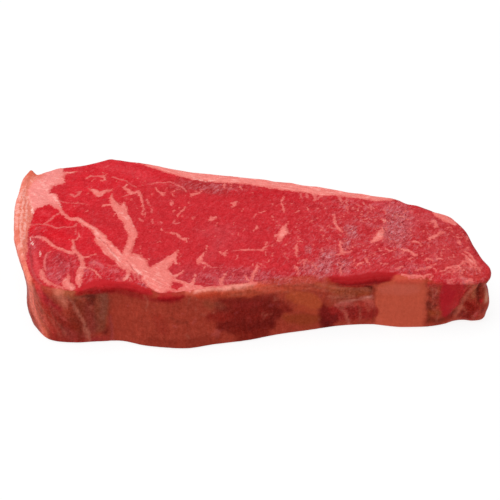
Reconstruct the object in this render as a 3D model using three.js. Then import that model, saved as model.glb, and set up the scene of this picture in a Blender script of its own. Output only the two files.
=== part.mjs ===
// A raw sirloin steak, cut thick, lying on its flat cut face.
// Millimetres, +Z up. X runs from the broad end (-X) to the tip (+X), and the long cut edge
// without its fat faces -Y. The origin is on the surface below the middle of the steak's box.

import * as THREE from 'three';

// ---- driving dimensions --------------------------------------------------------------------

const THICKNESS = 30;        // between the two cut faces at the middle of the steak
const TIP_DROP = 3.6;        // how much thinner the tip is than the middle
const TIP_START = 66;        // x where the steak starts to thin towards the tip
const TIP_END = 106;         // x of the thinnest place
const CROWN = 0.9;           // how far the middle of the upper face stands above its edge
const CROWN_FLAT_ALONG = 8;  // power of the crown's curve along the steak, flatter when larger
const CROWN_FLAT_ACROSS = 4; // the same across the steak
const TOP_ROUND = 2.4;       // radius where the side turns into the upper face
const FOOT_ROUND = 2.2;      // radius where the side turns under
const TIP_FOOT_ROUND = 3.2;  // the same radius at the tip, where the foot is pulled in more
const SHIFT_X = -0.3;        // these two bring the middle of the steak's box over the origin
const SHIFT_Y = 0.08;

// The side of the steak half way up, counter-clockwise from above, as [x, y, overhang].
// The overhang is how far the upper edge stands out past the foot there.
const TIP = [
  [106.6, -12.2, 0], [106.4, -6, 1.2], [103.4, 0.6, 1], [99.8, 9.2, 0], [96, 19.4, 0],
];
const FAT_EDGE = [
  [90, 26.2, 0], [85.6, 28.1, 0], [81.6, 28.9, 0], [78, 30.4, 0], [73.6, 31.9, 0], [69.6, 32.1, 0],
  [64, 34.3, 0], [48, 36.4, 0], [26, 39.5, 0], [4, 41.7, 0], [-18, 43.2, 0], [-36, 44.6, 0],
  [-52, 47.3, 0], [-61, 48.8, 0], [-67, 49.4, 0], [-70.6, 49.5, 0], [-74.6, 47.4, 0], [-80.6, 44, 0],
  [-86, 42, 0], [-91, 40, 0], [-97.4, 36.4, 0], [-101.4, 33.8, 0],
];
const BROAD_END = [
  [-105.1, 35.6, 0.6], [-106.7, 29.4, 1.2], [-106.2, 14, 2.2], [-104, 0, 2.8], [-100.2, -16, 2.6],
  [-94.6, -30.6, 1.2], [-88.8, -41.8, 1.2],
];
const CUT_EDGE = [
  [-80.5, -48.3, -1.2], [-69, -48.6, -2], [-59, -45.9, -3.4], [-49, -44.1, -4], [-39, -46.1, -3.4],
  [-30, -47.3, -1.4], [-20, -45.6, -3.4], [-9, -41.6, -3.4], [4, -37.6, -3.4], [17, -32.7, -2.2],
  [31, -28.6, -0.8], [44, -25.4, 1.6], [57, -22.8, 1.4], [72, -22.2, 0.6], [88, -19.2, 3.2],
  [96, -16.9, 4.2], [102.3, -15.6, 2],
];

// Low swells (+) and hollows (-) of the upper face: centre, reach along X and Y, height.
const FACE_SWELLS = [
  { x: 8, y: 8, alongX: 48, alongY: 22, rise: 0.7 },      // the big eye of lean
  { x: -74, y: 20, alongX: 16, alongY: 14, rise: 0.6 },   // muscle behind the main seam
  { x: -78, y: -12, alongX: 13, alongY: 8, rise: 0.8 },   // muscle beside the fat strip
  { x: -60, y: -30, alongX: 16, alongY: 10, rise: 0.5 },
  { x: 64, y: 12, alongX: 16, alongY: 14, rise: -0.8 },   // dip with the coarse grain
  { x: -16, y: -30, alongX: 18, alongY: 8, rise: -0.5 },
  { x: 92, y: -4, alongX: 12, alongY: 14, rise: 0.7 },
  { x: -56, y: -47, alongX: 18, alongY: 5, rise: -2.2 },  // drooping lip of the broad muscle
  { x: -26, y: -49, alongX: 9, alongY: 4, rise: -1.4 },
  { x: 50, y: -25, alongX: 14, alongY: 4, rise: -1.6 },   // drooping lip over the fibrous band
];

// Lips (+) and hollows (-) of the side: place on the outline, height, reach, how far out.
const SIDE_SWELLS = [
  { x: -64, y: -46, z: 27, along: 16, up: 3.4, out: 1.2 },   // lip over the broad muscle
  { x: -62, y: -46, z: 20, along: 13, up: 4, out: -1.4 },
  { x: 50, y: -23, z: 27, along: 11, up: 3, out: 1.4 },      // lip over the fibrous band
  { x: 50, y: -23, z: 21.5, along: 8, up: 2.6, out: -2.2 },
  { x: 69, y: -21, z: 14, along: 7, up: 12, out: 0.9 },      // smooth slab of side muscle
  { x: 90, y: -18, z: 12, along: 4, up: 11, out: 0.9 },
  { x: 8, y: -35, z: 25, along: 22, up: 3, out: 0.8 },       // rolled rim of fat
  { x: 0, y: 39, z: 14, along: 60, up: 8, out: -0.8 },       // waist of the back fat
  { x: -101, y: -14, z: 4, along: 14, up: 9, out: -4.5 },    // hollow below the fat strip
  { x: -91, y: -38, z: 9, along: 7, up: 6, out: 1.2 },
  { x: -96, y: -26, z: 18, along: 8, up: 6, out: -1.2 },
  { x: 107, y: -7, z: 25, along: 7, up: 3, out: 1 },
  { x: 107, y: -9, z: 19.5, along: 9, up: 2.6, out: -1.6 },  // fold across the tip
  { x: 106, y: -13, z: 10, along: 8, up: 5, out: 1.3 },
  { x: 84, y: -20, z: 1, along: 7, up: 5, out: 1.3 },        // toe beside the slab
];

// The strip of fat that caps the broad end: its inner border, and the step up onto it.
const STRIP_BORDER = [
  [-101, 38], [-101.2, 31.5], [-102.4, 25.9], [-102.9, 20.5], [-102.2, 16], [-100.3, 11], [-98, 6],
  [-96.4, 1.6], [-95.7, -11], [-92.9, -28], [-88, -46],
];
const STRIP_GROOVE = 0.6;      // depth of the crease beside the strip
const STRIP_GROOVE_REACH = 2.2;
const STRIP_RISE = 0.5;        // how far the strip stands above the face
const STRIP_STEP = 3;          // breadth of the slope up onto the strip

// ---- mesh fineness -------------------------------------------------------------------------

const COLUMNS_LONG = 56;     // along the fat edge and along the cut edge
const COLUMNS_SHORT = 24;    // round the broad end and round the tip
const ROUND_ROWS = 3;        // rows in each rounded edge
const WALL_ROWS = 6;         // rows in the upright part of the side
const CURVE_SAMPLES = 1200;
const NORMAL_SMOOTHING = 2;

const LEAN_RED = 0xb3262c;

// ---- outline -------------------------------------------------------------------------------

// The outline as a closed curve through its stations; the overhang rides along as z.
function outlineCurve() {
  const stations = [...TIP, ...FAT_EDGE, ...BROAD_END, ...CUT_EDGE];
  return new THREE.CatmullRomCurve3(stations.map((s) => new THREE.Vector3(...s)), true, 'centripetal');
}

// Points spread evenly along one run of the curve, from parameter start to end, end left out.
function evenRun(curve, start, end, count) {
  const samples = [];
  const lengths = [0];
  for (let i = 0; i <= CURVE_SAMPLES; i += 1) {
    const point = curve.getPoint((start + ((end - start) * i) / CURVE_SAMPLES) % 1);
    if (i > 0) {
      const last = samples[i - 1];
      lengths.push(lengths[i - 1] + Math.hypot(point.x - last.x, point.y - last.y));
    }
    samples.push(point);
  }
  const run = [];
  let at = 0;
  for (let k = 0; k < count; k += 1) {
    const wanted = (lengths[CURVE_SAMPLES] * k) / count;
    while (lengths[at + 1] < wanted) at += 1;
    const part = (wanted - lengths[at]) / (lengths[at + 1] - lengths[at]);
    run.push(samples[at].clone().lerp(samples[at + 1], part));
  }
  return run;
}

// The columns of the side: the outline cut at its four corners into even runs, in the order
// tip, fat edge, broad end, cut edge, each column with its outward normal.
function sideColumns() {
  const curve = outlineCurve();
  const total = TIP.length + FAT_EDGE.length + BROAD_END.length + CUT_EDGE.length;
  const corners = [0, TIP.length, TIP.length + FAT_EDGE.length, total - CUT_EDGE.length, total];
  const counts = [COLUMNS_SHORT, COLUMNS_LONG, COLUMNS_SHORT, COLUMNS_LONG];
  const points = counts.flatMap((count, run) => (
    evenRun(curve, corners[run] / total, corners[run + 1] / total, count)));
  const n = points.length;
  let normals = points.map((_, i) => {
    const before = points[(i + n - 1) % n];
    const after = points[(i + 1) % n];
    return new THREE.Vector2(after.y - before.y, before.x - after.x).normalize();
  });
  for (let pass = 0; pass < NORMAL_SMOOTHING; pass += 1) {
    normals = normals.map((normal, i) => normal.clone().multiplyScalar(2)
      .add(normals[(i + n - 1) % n]).add(normals[(i + 1) % n]).normalize());
  }
  return points.map((point, i) => ({ x: point.x, y: point.y, overhang: point.z, normal: normals[i] }));
}

// ---- height of the upper face --------------------------------------------------------------

// Signed distance from the inner border of the fat strip, positive on the strip.
function stripDepth(x, y) {
  let nearest = Infinity;
  let side = 1;
  for (let i = 0; i + 1 < STRIP_BORDER.length; i += 1) {
    const [ax, ay] = STRIP_BORDER[i];
    const [bx, by] = STRIP_BORDER[i + 1];
    const dx = bx - ax;
    const dy = by - ay;
    const t = THREE.MathUtils.clamp(((x - ax) * dx + (y - ay) * dy) / (dx * dx + dy * dy), 0, 1);
    const distance = Math.hypot(x - ax - t * dx, y - ay - t * dy);
    if (distance < nearest) {
      nearest = distance;
      side = (x - ax) * dy - (y - ay) * dx > 0 ? 1 : -1;
    }
  }
  return nearest * side;
}

// Height of the upper face without its crown: thickness, thinning to the tip, swells, fat strip.
function faceHeight(x, y) {
  let z = THICKNESS - CROWN - TIP_DROP * THREE.MathUtils.smoothstep(x, TIP_START, TIP_END);
  for (const swell of FACE_SWELLS) {
    const reach = ((x - swell.x) / swell.alongX) ** 2 + ((y - swell.y) / swell.alongY) ** 2;
    z += swell.rise * Math.exp(-reach);
  }
  const depth = stripDepth(x, y);
  z += STRIP_RISE * THREE.MathUtils.smoothstep(depth, 0, STRIP_STEP);
  z -= STRIP_GROOVE * Math.exp(-((depth / STRIP_GROOVE_REACH) ** 2));
  return z;
}

// ---- side ----------------------------------------------------------------------------------

// How far the lips and hollows push the side out at one place.
function sideSwell(x, y, z) {
  let out = 0;
  for (const swell of SIDE_SWELLS) {
    const along = Math.hypot(x - swell.x, y - swell.y) / swell.along;
    out += swell.out * Math.exp(-(along ** 2) - ((z - swell.z) / swell.up) ** 2);
  }
  return out;
}

// One column of the side from the foot ring up to the ring where the upper face starts:
// a quarter round, the upright wall leaning by the overhang, and a second quarter round.
function sideColumn(column) {
  const { x, y, normal } = column;
  const tip = THREE.MathUtils.smoothstep(x, TIP_START, TIP_END);
  const footRound = THREE.MathUtils.lerp(FOOT_ROUND, TIP_FOOT_ROUND, tip);
  const top = faceHeight(x - normal.x * TOP_ROUND, y - normal.y * TOP_ROUND);
  const rows = [];
  for (let i = 0; i < ROUND_ROWS; i += 1) {
    const turn = (Math.PI / 2) * (i / ROUND_ROWS);
    rows.push([footRound * (1 - Math.sin(turn)), footRound * (1 - Math.cos(turn))]);
  }
  for (let i = 0; i < WALL_ROWS; i += 1) {
    rows.push([0, THREE.MathUtils.lerp(footRound, top - TOP_ROUND, i / WALL_ROWS)]);
  }
  for (let i = 0; i <= ROUND_ROWS; i += 1) {
    const turn = (Math.PI / 2) * (i / ROUND_ROWS);
    rows.push([TOP_ROUND * (1 - Math.cos(turn)), top - TOP_ROUND * (1 - Math.sin(turn))]);
  }
  return rows.map(([inset, z]) => {
    const out = column.overhang * (z / THICKNESS - 0.5) + sideSwell(x, y, z) - inset;
    return [x + normal.x * out, y + normal.y * out, z];
  });
}

// ---- upper face ----------------------------------------------------------------------------

// Every point of the upper face, blended from the four runs of the rim (a Coons patch):
// u runs along the cut edge towards the tip, v from the cut edge to the fat edge.
function facePoint(rim, i, j) {
  const u = i / COLUMNS_LONG;
  const v = j / COLUMNS_SHORT;
  const at = (index) => rim[index % rim.length];
  const fatStart = COLUMNS_SHORT;
  const endStart = COLUMNS_SHORT + COLUMNS_LONG;
  const cutStart = 2 * COLUMNS_SHORT + COLUMNS_LONG;
  const cut = at(cutStart + i);
  const fat = at(fatStart + COLUMNS_LONG - i);
  const tip = at(j);
  const end = at(endStart + COLUMNS_SHORT - j);
  const corners = [at(cutStart), at(0), at(fatStart), at(endStart)];
  const blend = (k) => (1 - v) * cut[k] + v * fat[k] + u * tip[k] + (1 - u) * end[k]
    - (1 - u) * (1 - v) * corners[0][k] - u * (1 - v) * corners[1][k]
    - u * v * corners[2][k] - (1 - u) * v * corners[3][k];
  const x = blend(0);
  const y = blend(1);
  const crown = (1 - (2 * u - 1) ** CROWN_FLAT_ALONG) * (1 - (2 * v - 1) ** CROWN_FLAT_ACROSS);
  return [x, y, faceHeight(x, y) + CROWN * crown];
}

// ---- the whole steak -----------------------------------------------------------------------

function steakGeometry() {
  const columns = sideColumns().map(sideColumn);
  const count = columns.length;
  const rows = columns[0].length;
  const positions = columns.flat();
  const faces = [];
  const quad = (a, b, c, d) => faces.push([a, b, c], [a, c, d]);
  const sideIndex = (column, row) => (column % count) * rows + row;

  for (let column = 0; column < count; column += 1) {
    for (let row = 0; row + 1 < rows; row += 1) {
      quad(sideIndex(column, row), sideIndex(column + 1, row),
        sideIndex(column + 1, row + 1), sideIndex(column, row + 1));
    }
  }

  const rim = columns.map((column) => column[rows - 1]);
  const cutStart = 2 * COLUMNS_SHORT + COLUMNS_LONG;
  const grid = [];
  for (let i = 0; i <= COLUMNS_LONG; i += 1) {
    grid.push([]);
    for (let j = 0; j <= COLUMNS_SHORT; j += 1) {
      let index = positions.length;
      if (j === 0) index = sideIndex(cutStart + i, rows - 1);
      else if (j === COLUMNS_SHORT) index = sideIndex(COLUMNS_SHORT + COLUMNS_LONG - i, rows - 1);
      else if (i === 0) index = sideIndex(cutStart - j, rows - 1);
      else if (i === COLUMNS_LONG) index = sideIndex(j, rows - 1);
      else positions.push(facePoint(rim, i, j));
      grid[i].push(index);
    }
  }
  for (let i = 0; i < COLUMNS_LONG; i += 1) {
    for (let j = 0; j < COLUMNS_SHORT; j += 1) {
      quad(grid[i][j], grid[i + 1][j], grid[i + 1][j + 1], grid[i][j + 1]);
    }
  }

  // The flat underside fills the foot ring.
  const foot = columns.map((column) => new THREE.Vector2(column[0][0], column[0][1]));
  for (const [a, b, c] of THREE.ShapeUtils.triangulateShape(foot, [])) {
    faces.push([sideIndex(a, 0), sideIndex(c, 0), sideIndex(b, 0)]);
  }

  const geometry = new THREE.BufferGeometry();
  geometry.setAttribute('position', new THREE.Float32BufferAttribute(positions.flat(), 3));
  geometry.setIndex(faces.flat());
  geometry.translate(SHIFT_X, SHIFT_Y, 0);
  geometry.computeVertexNormals();
  return geometry;
}

function steak() {
  const lean = new THREE.MeshStandardMaterial({ color: LEAN_RED, roughness: 0.45, metalness: 0 });
  const mesh = new THREE.Mesh(steakGeometry(), lean);
  mesh.name = 'steak';
  return mesh;
}

const model = new THREE.Group();
model.add(steak());

export default model;
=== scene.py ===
"""A raw sirloin steak, cut thick, lying on its flat cut face.

The steak is one closed surface: an upright side lofted round the outline, an upper face blended
inside its rim, and a flat underside. Seams, marbling and skin are fields in millimetres, worked
out at every point of the surface and turned into colour, gloss and fine relief by the material.
X runs from the broad end to the tip, the cut side faces -Y and the edge with its fat faces +Y.
"""
import math

import bpy
import numpy as np
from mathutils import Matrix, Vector


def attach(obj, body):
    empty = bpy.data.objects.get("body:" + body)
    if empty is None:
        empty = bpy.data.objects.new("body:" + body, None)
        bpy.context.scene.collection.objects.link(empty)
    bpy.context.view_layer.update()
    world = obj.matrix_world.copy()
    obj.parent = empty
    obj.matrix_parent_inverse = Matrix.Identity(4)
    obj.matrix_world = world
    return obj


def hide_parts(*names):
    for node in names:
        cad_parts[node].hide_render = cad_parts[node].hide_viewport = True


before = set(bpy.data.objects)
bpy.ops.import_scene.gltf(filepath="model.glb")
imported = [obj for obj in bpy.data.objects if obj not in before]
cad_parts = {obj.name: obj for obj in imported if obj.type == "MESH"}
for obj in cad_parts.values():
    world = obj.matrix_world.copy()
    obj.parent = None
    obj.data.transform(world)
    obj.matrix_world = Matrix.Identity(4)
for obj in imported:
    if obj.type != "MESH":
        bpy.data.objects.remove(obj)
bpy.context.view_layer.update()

MM = 0.001
SEED = 11

# ---- form of the steak, in millimetres -----------------------------------------------------------

THICKNESS = 30.0
TIP_DROP, TIP_START, TIP_END = 3.6, 66.0, 106.0     # thinning towards the tip, between two x
CROWN, CROWN_FLAT_ALONG, CROWN_FLAT_ACROSS = 0.9, 8, 4
TOP_ROUND, FOOT_ROUND, TIP_FOOT_ROUND = 2.4, 2.2, 3.2
SHIFT_X, SHIFT_Y = -0.3, 0.08

# The side half way up, counter-clockwise from above: x, y, and how far the rim overhangs the foot.
TIP = [
    (106.6, -12.2, 0), (106.4, -6, 1.2), (103.4, 0.6, 1), (99.8, 9.2, 0), (96, 19.4, 0),
]
FAT_EDGE = [
    (90, 26.2, 0), (85.6, 28.1, 0), (81.6, 28.9, 0), (78, 30.4, 0), (73.6, 31.9, 0),
    (69.6, 32.1, 0), (64, 34.3, 0), (48, 36.4, 0), (26, 39.5, 0), (4, 41.7, 0), (-18, 43.2, 0),
    (-36, 44.6, 0), (-52, 47.3, 0), (-61, 48.8, 0), (-67, 49.4, 0), (-70.6, 49.5, 0),
    (-74.6, 47.4, 0), (-80.6, 44, 0), (-86, 42, 0), (-91, 40, 0), (-97.4, 36.4, 0),
    (-101.4, 33.8, 0),
]
BROAD_END = [
    (-105.1, 35.6, 0.6), (-106.7, 29.4, 1.2), (-106.2, 14, 2.2), (-104, 0, 2.8), (-100.2, -16, 2.6),
    (-94.6, -30.6, 1.2), (-88.8, -41.8, 1.2),
]
CUT_EDGE = [
    (-80.5, -48.3, -1.2), (-69, -48.6, -2), (-59, -45.9, -3.4), (-49, -44.1, -4),
    (-39, -46.1, -3.4), (-30, -47.3, -1.4), (-20, -45.6, -3.4), (-9, -41.6, -3.4),
    (4, -37.6, -3.4), (17, -32.7, -2.2), (31, -28.6, -0.8), (44, -25.4, 1.6), (57, -22.8, 1.4),
    (72, -22.2, 0.6), (88, -19.2, 3.2), (96, -16.9, 4.2), (102.3, -15.6, 2),
]

# Low swells and hollows of the upper face: x, y, reach along X, reach along Y, height.
FACE_SWELLS = [
    (8, 8, 48, 22, 0.7), (-74, 20, 16, 14, 0.6), (-78, -12, 13, 8, 0.8), (-60, -30, 16, 10, 0.5),
    (64, 12, 16, 14, -0.8), (-16, -30, 18, 8, -0.5), (92, -4, 12, 14, 0.7), (-56, -47, 18, 5, -2.2),
    (-26, -49, 9, 4, -1.4), (50, -25, 14, 4, -1.6),
]

# Lips and hollows of the side: x, y, z, reach along the outline, reach upwards, how far out.
SIDE_SWELLS = [
    (-64, -46, 27, 16, 3.4, 1.2), (-62, -46, 20, 13, 4, -1.4), (50, -23, 27, 11, 3, 1.4),
    (50, -23, 21.5, 8, 2.6, -2.2), (69, -21, 14, 7, 12, 0.9), (90, -18, 12, 4, 11, 0.9),
    (8, -35, 25, 22, 3, 0.8), (0, 39, 14, 60, 8, -0.8), (-101, -14, 4, 14, 9, -4.5),
    (-91, -38, 9, 7, 6, 1.2), (-96, -26, 18, 8, 6, -1.2), (107, -7, 25, 7, 3, 1),
    (107, -9, 19.5, 9, 2.6, -1.6), (106, -13, 10, 8, 5, 1.3), (84, -20, 1, 7, 5, 1.3),
]

# Inner border of the strip of fat that caps the broad end, and its crease and step.
STRIP_BORDER = [
    (-101, 38), (-101.2, 31.5), (-102.4, 25.9), (-102.9, 20.5), (-102.2, 16), (-100.3, 11), (-98, 6),
    (-96.4, 1.6), (-95.7, -11), (-92.9, -28), (-88, -46),
]
STRIP_GROOVE, STRIP_GROOVE_REACH, STRIP_RISE, STRIP_STEP = 0.6, 2.2, 0.5, 3.0

# Border of the pale corner beside the strip, from the fat edge to the strip.
CORNER_BORDER = [
    (-89.6, 46), (-90.3, 37.2), (-89, 34.5), (-87.6, 32.5), (-88.4, 30.8), (-87.5, 28.8), (-86.6, 26.4),
    (-88.1, 24.7), (-90.7, 24.1), (-91.8, 22.5), (-92.5, 20.5), (-92.6, 18), (-91.5, 16), (-90.7, 13),
    (-90.5, 10.1), (-92.1, 8.9), (-93.2, 7.8), (-95.7, 6.4), (-96.6, 5), (-96.9, 3.4), (-97, -6),
]

# Inner border of the rim of fat along the fat edge, from the tip to the broad end.
RIM_BORDER = [
    (68, 34), (62, 31.6), (55, 30.4), (46, 31.2), (36, 31.4), (31, 31.2), (30, 29.8), (28.6, 31.2),
    (26.6, 29.8), (25, 31.6), (22, 32.2), (16, 32.4), (6, 33.8), (-4, 35), (-12, 35.2), (-24, 35.4),
    (-30, 36.2), (-35, 37.2), (-40, 39.2), (-45, 41), (-50, 43.4), (-56, 45.4), (-64, 47.6), (-72, 50),
]

# ---- fat and marbling of the upper face: x, y, half breadth along each band, in millimetres ------

SEAMS = [
    # the long seam from the pale corner to the cut side, with its branch
    [(-91.1, 14.3, 3.5), (-88.6, 10.6, 2.6), (-85.9, 7.6, 1.1), (-82.8, 3.3, 1), (-79.8, 0.3, 1),
     (-76.3, 0, 1.4), (-72.2, -3, 1.7), (-68.6, -5.2, 1.3), (-63.7, -10.8, 2.3), (-62.2, -14.1, 3.1),
     (-59.8, -16.6, 3), (-57.5, -19.8, 3.3), (-52.8, -24.1, 3), (-50.2, -26.2, 3.7), (-47.6, -27.2, 5.2),
     (-45.1, -27.6, 5.2), (-42.7, -29.6, 4.4), (-40.1, -31.8, 3.5), (-36.8, -33.6, 4.3),
     (-34.4, -34.7, 6.6), (-32.4, -38.2, 5.1), (-31.4, -42.2, 2.4)],
    [(-48.3, -29.8, 1.1), (-47, -32.2, 1.1), (-46.8, -34.7, 1), (-47.4, -37.2, 1.1), (-48.2, -38.9, 0.9),
     (-48.6, -40.2, 0.4)],
    # the middle seam with its forked head
    [(-64.2, 19.8, 0.4), (-63.4, 16, 1), (-62, 13, 1.6), (-59.6, 9.6, 2.2), (-56.6, 5.6, 2.4),
     (-53.2, 0.4, 2.2), (-51.4, -3.7, 2.4), (-49.7, -8.1, 2), (-49.7, -15.8, 2.1), (-49.8, -22.5, 2)],
    [(-57.6, 14.4, 0.5), (-57.2, 11, 1.5), (-56.5, 8, 2)],
    [(-66, 10.7, 0.9), (-64.5, 11.6, 0.7), (-63, 11.8, 0.7), (-61.5, 10.9, 0.9)],
    # the heart where the seams meet, with its arms
    [(-28.3, -16, 0.3), (-28.8, -17.8, 0.8), (-31.6, -24.4, 2.4), (-36, -31.8, 3.6)],
    [(-29.8, -21, 1.2), (-28.6, -23, 0.8), (-27.8, -25, 0.3)],
    [(-48, -21, 1), (-45, -22.2, 1.2), (-43, -23.6, 0.6)],
    [(-33, -32.4, 2.6), (-28.2, -33.3, 1.1), (-25.7, -31.3, 0.8), (-24.2, -28.8, 0.3)],
    [(-30.7, -36.2, 1.6), (-27.8, -35.6, 0.9), (-24.8, -35.8, 0.9), (-22, -37, 1.2), (-19.4, -38.6, 1.8)],
    [(-30.4, -41, 2), (-27.1, -41.4, 0.9), (-24.2, -42.3, 0.9), (-21.8, -41.1, 1.6), (-20, -40.2, 2)],
    [(-18.8, -30.4, 0.3), (-18.6, -33.5, 0.6), (-19, -36.4, 1)],
    [(-19.5, -38, 1.8), (-19.5, -41, 2), (-21, -44.4, 1.1)],
    [(-19, -39.6, 1.5), (-14, -39.4, 1), (-9, -38.6, 0.8), (-4, -37.8, 0.7), (0.5, -36.7, 0.6),
     (4, -35.4, 0.6), (6.5, -34.4, 0.4)],
    # the spur of the pale corner
    [(-90.6, 34.4, 1), (-87.8, 34.4, 0.9), (-82.9, 35.9, 0.3)],
    # the seams of the corner muscles
    [(-93.9, -13.9, 0.4), (-91.2, -14, 0.6), (-88.3, -14.9, 0.8), (-86.1, -16.8, 1), (-83.3, -19.2, 0.9),
     (-80.8, -20.8, 0.8), (-75.9, -22.8, 1), (-73.6, -23.6, 1)],
    [(-76.6, -15.2, 0.4), (-74.9, -15.6, 0.7), (-73.9, -18.7, 0.8), (-72.7, -21.5, 1), (-70.8, -24, 1.1),
     (-69.2, -26.6, 1.3), (-68, -29.6, 1.2), (-66.6, -32.1, 0.8), (-64.7, -32.9, 0.5), (-62.3, -33.9, 0.5),
     (-60.2, -36.1, 0.5), (-58, -38.4, 0.4)],
    [(-74.7, -15.6, 0.4), (-73, -14, 0.4), (-73.1, -10.5, 0.3), (-73.7, -8.4, 0.2)],
    [(-69.1, -26.3, 0.8), (-67, -25.7, 0.7), (-63.1, -23.1, 0.4)],
    [(-67.6, -30.2, 0.6), (-67.8, -33.5, 1.3), (-67.4, -37.8, 1.4), (-67.2, -41.1, 1.3),
     (-66.6, -43.2, 0.8)],
    [(-84.6, -36.1, 1), (-83.5, -39.3, 1.2), (-81.8, -41.9, 1.2), (-80, -43.5, 0.9), (-78.1, -44, 0.6),
     (-73.6, -45.3, 0.6)],
    [(-72.7, -36.5, 0.3), (-72, -38.9, 0.7), (-72.3, -40.9, 1.6), (-71.9, -43, 2.2), (-70.5, -44.3, 2.2)],
]

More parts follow.
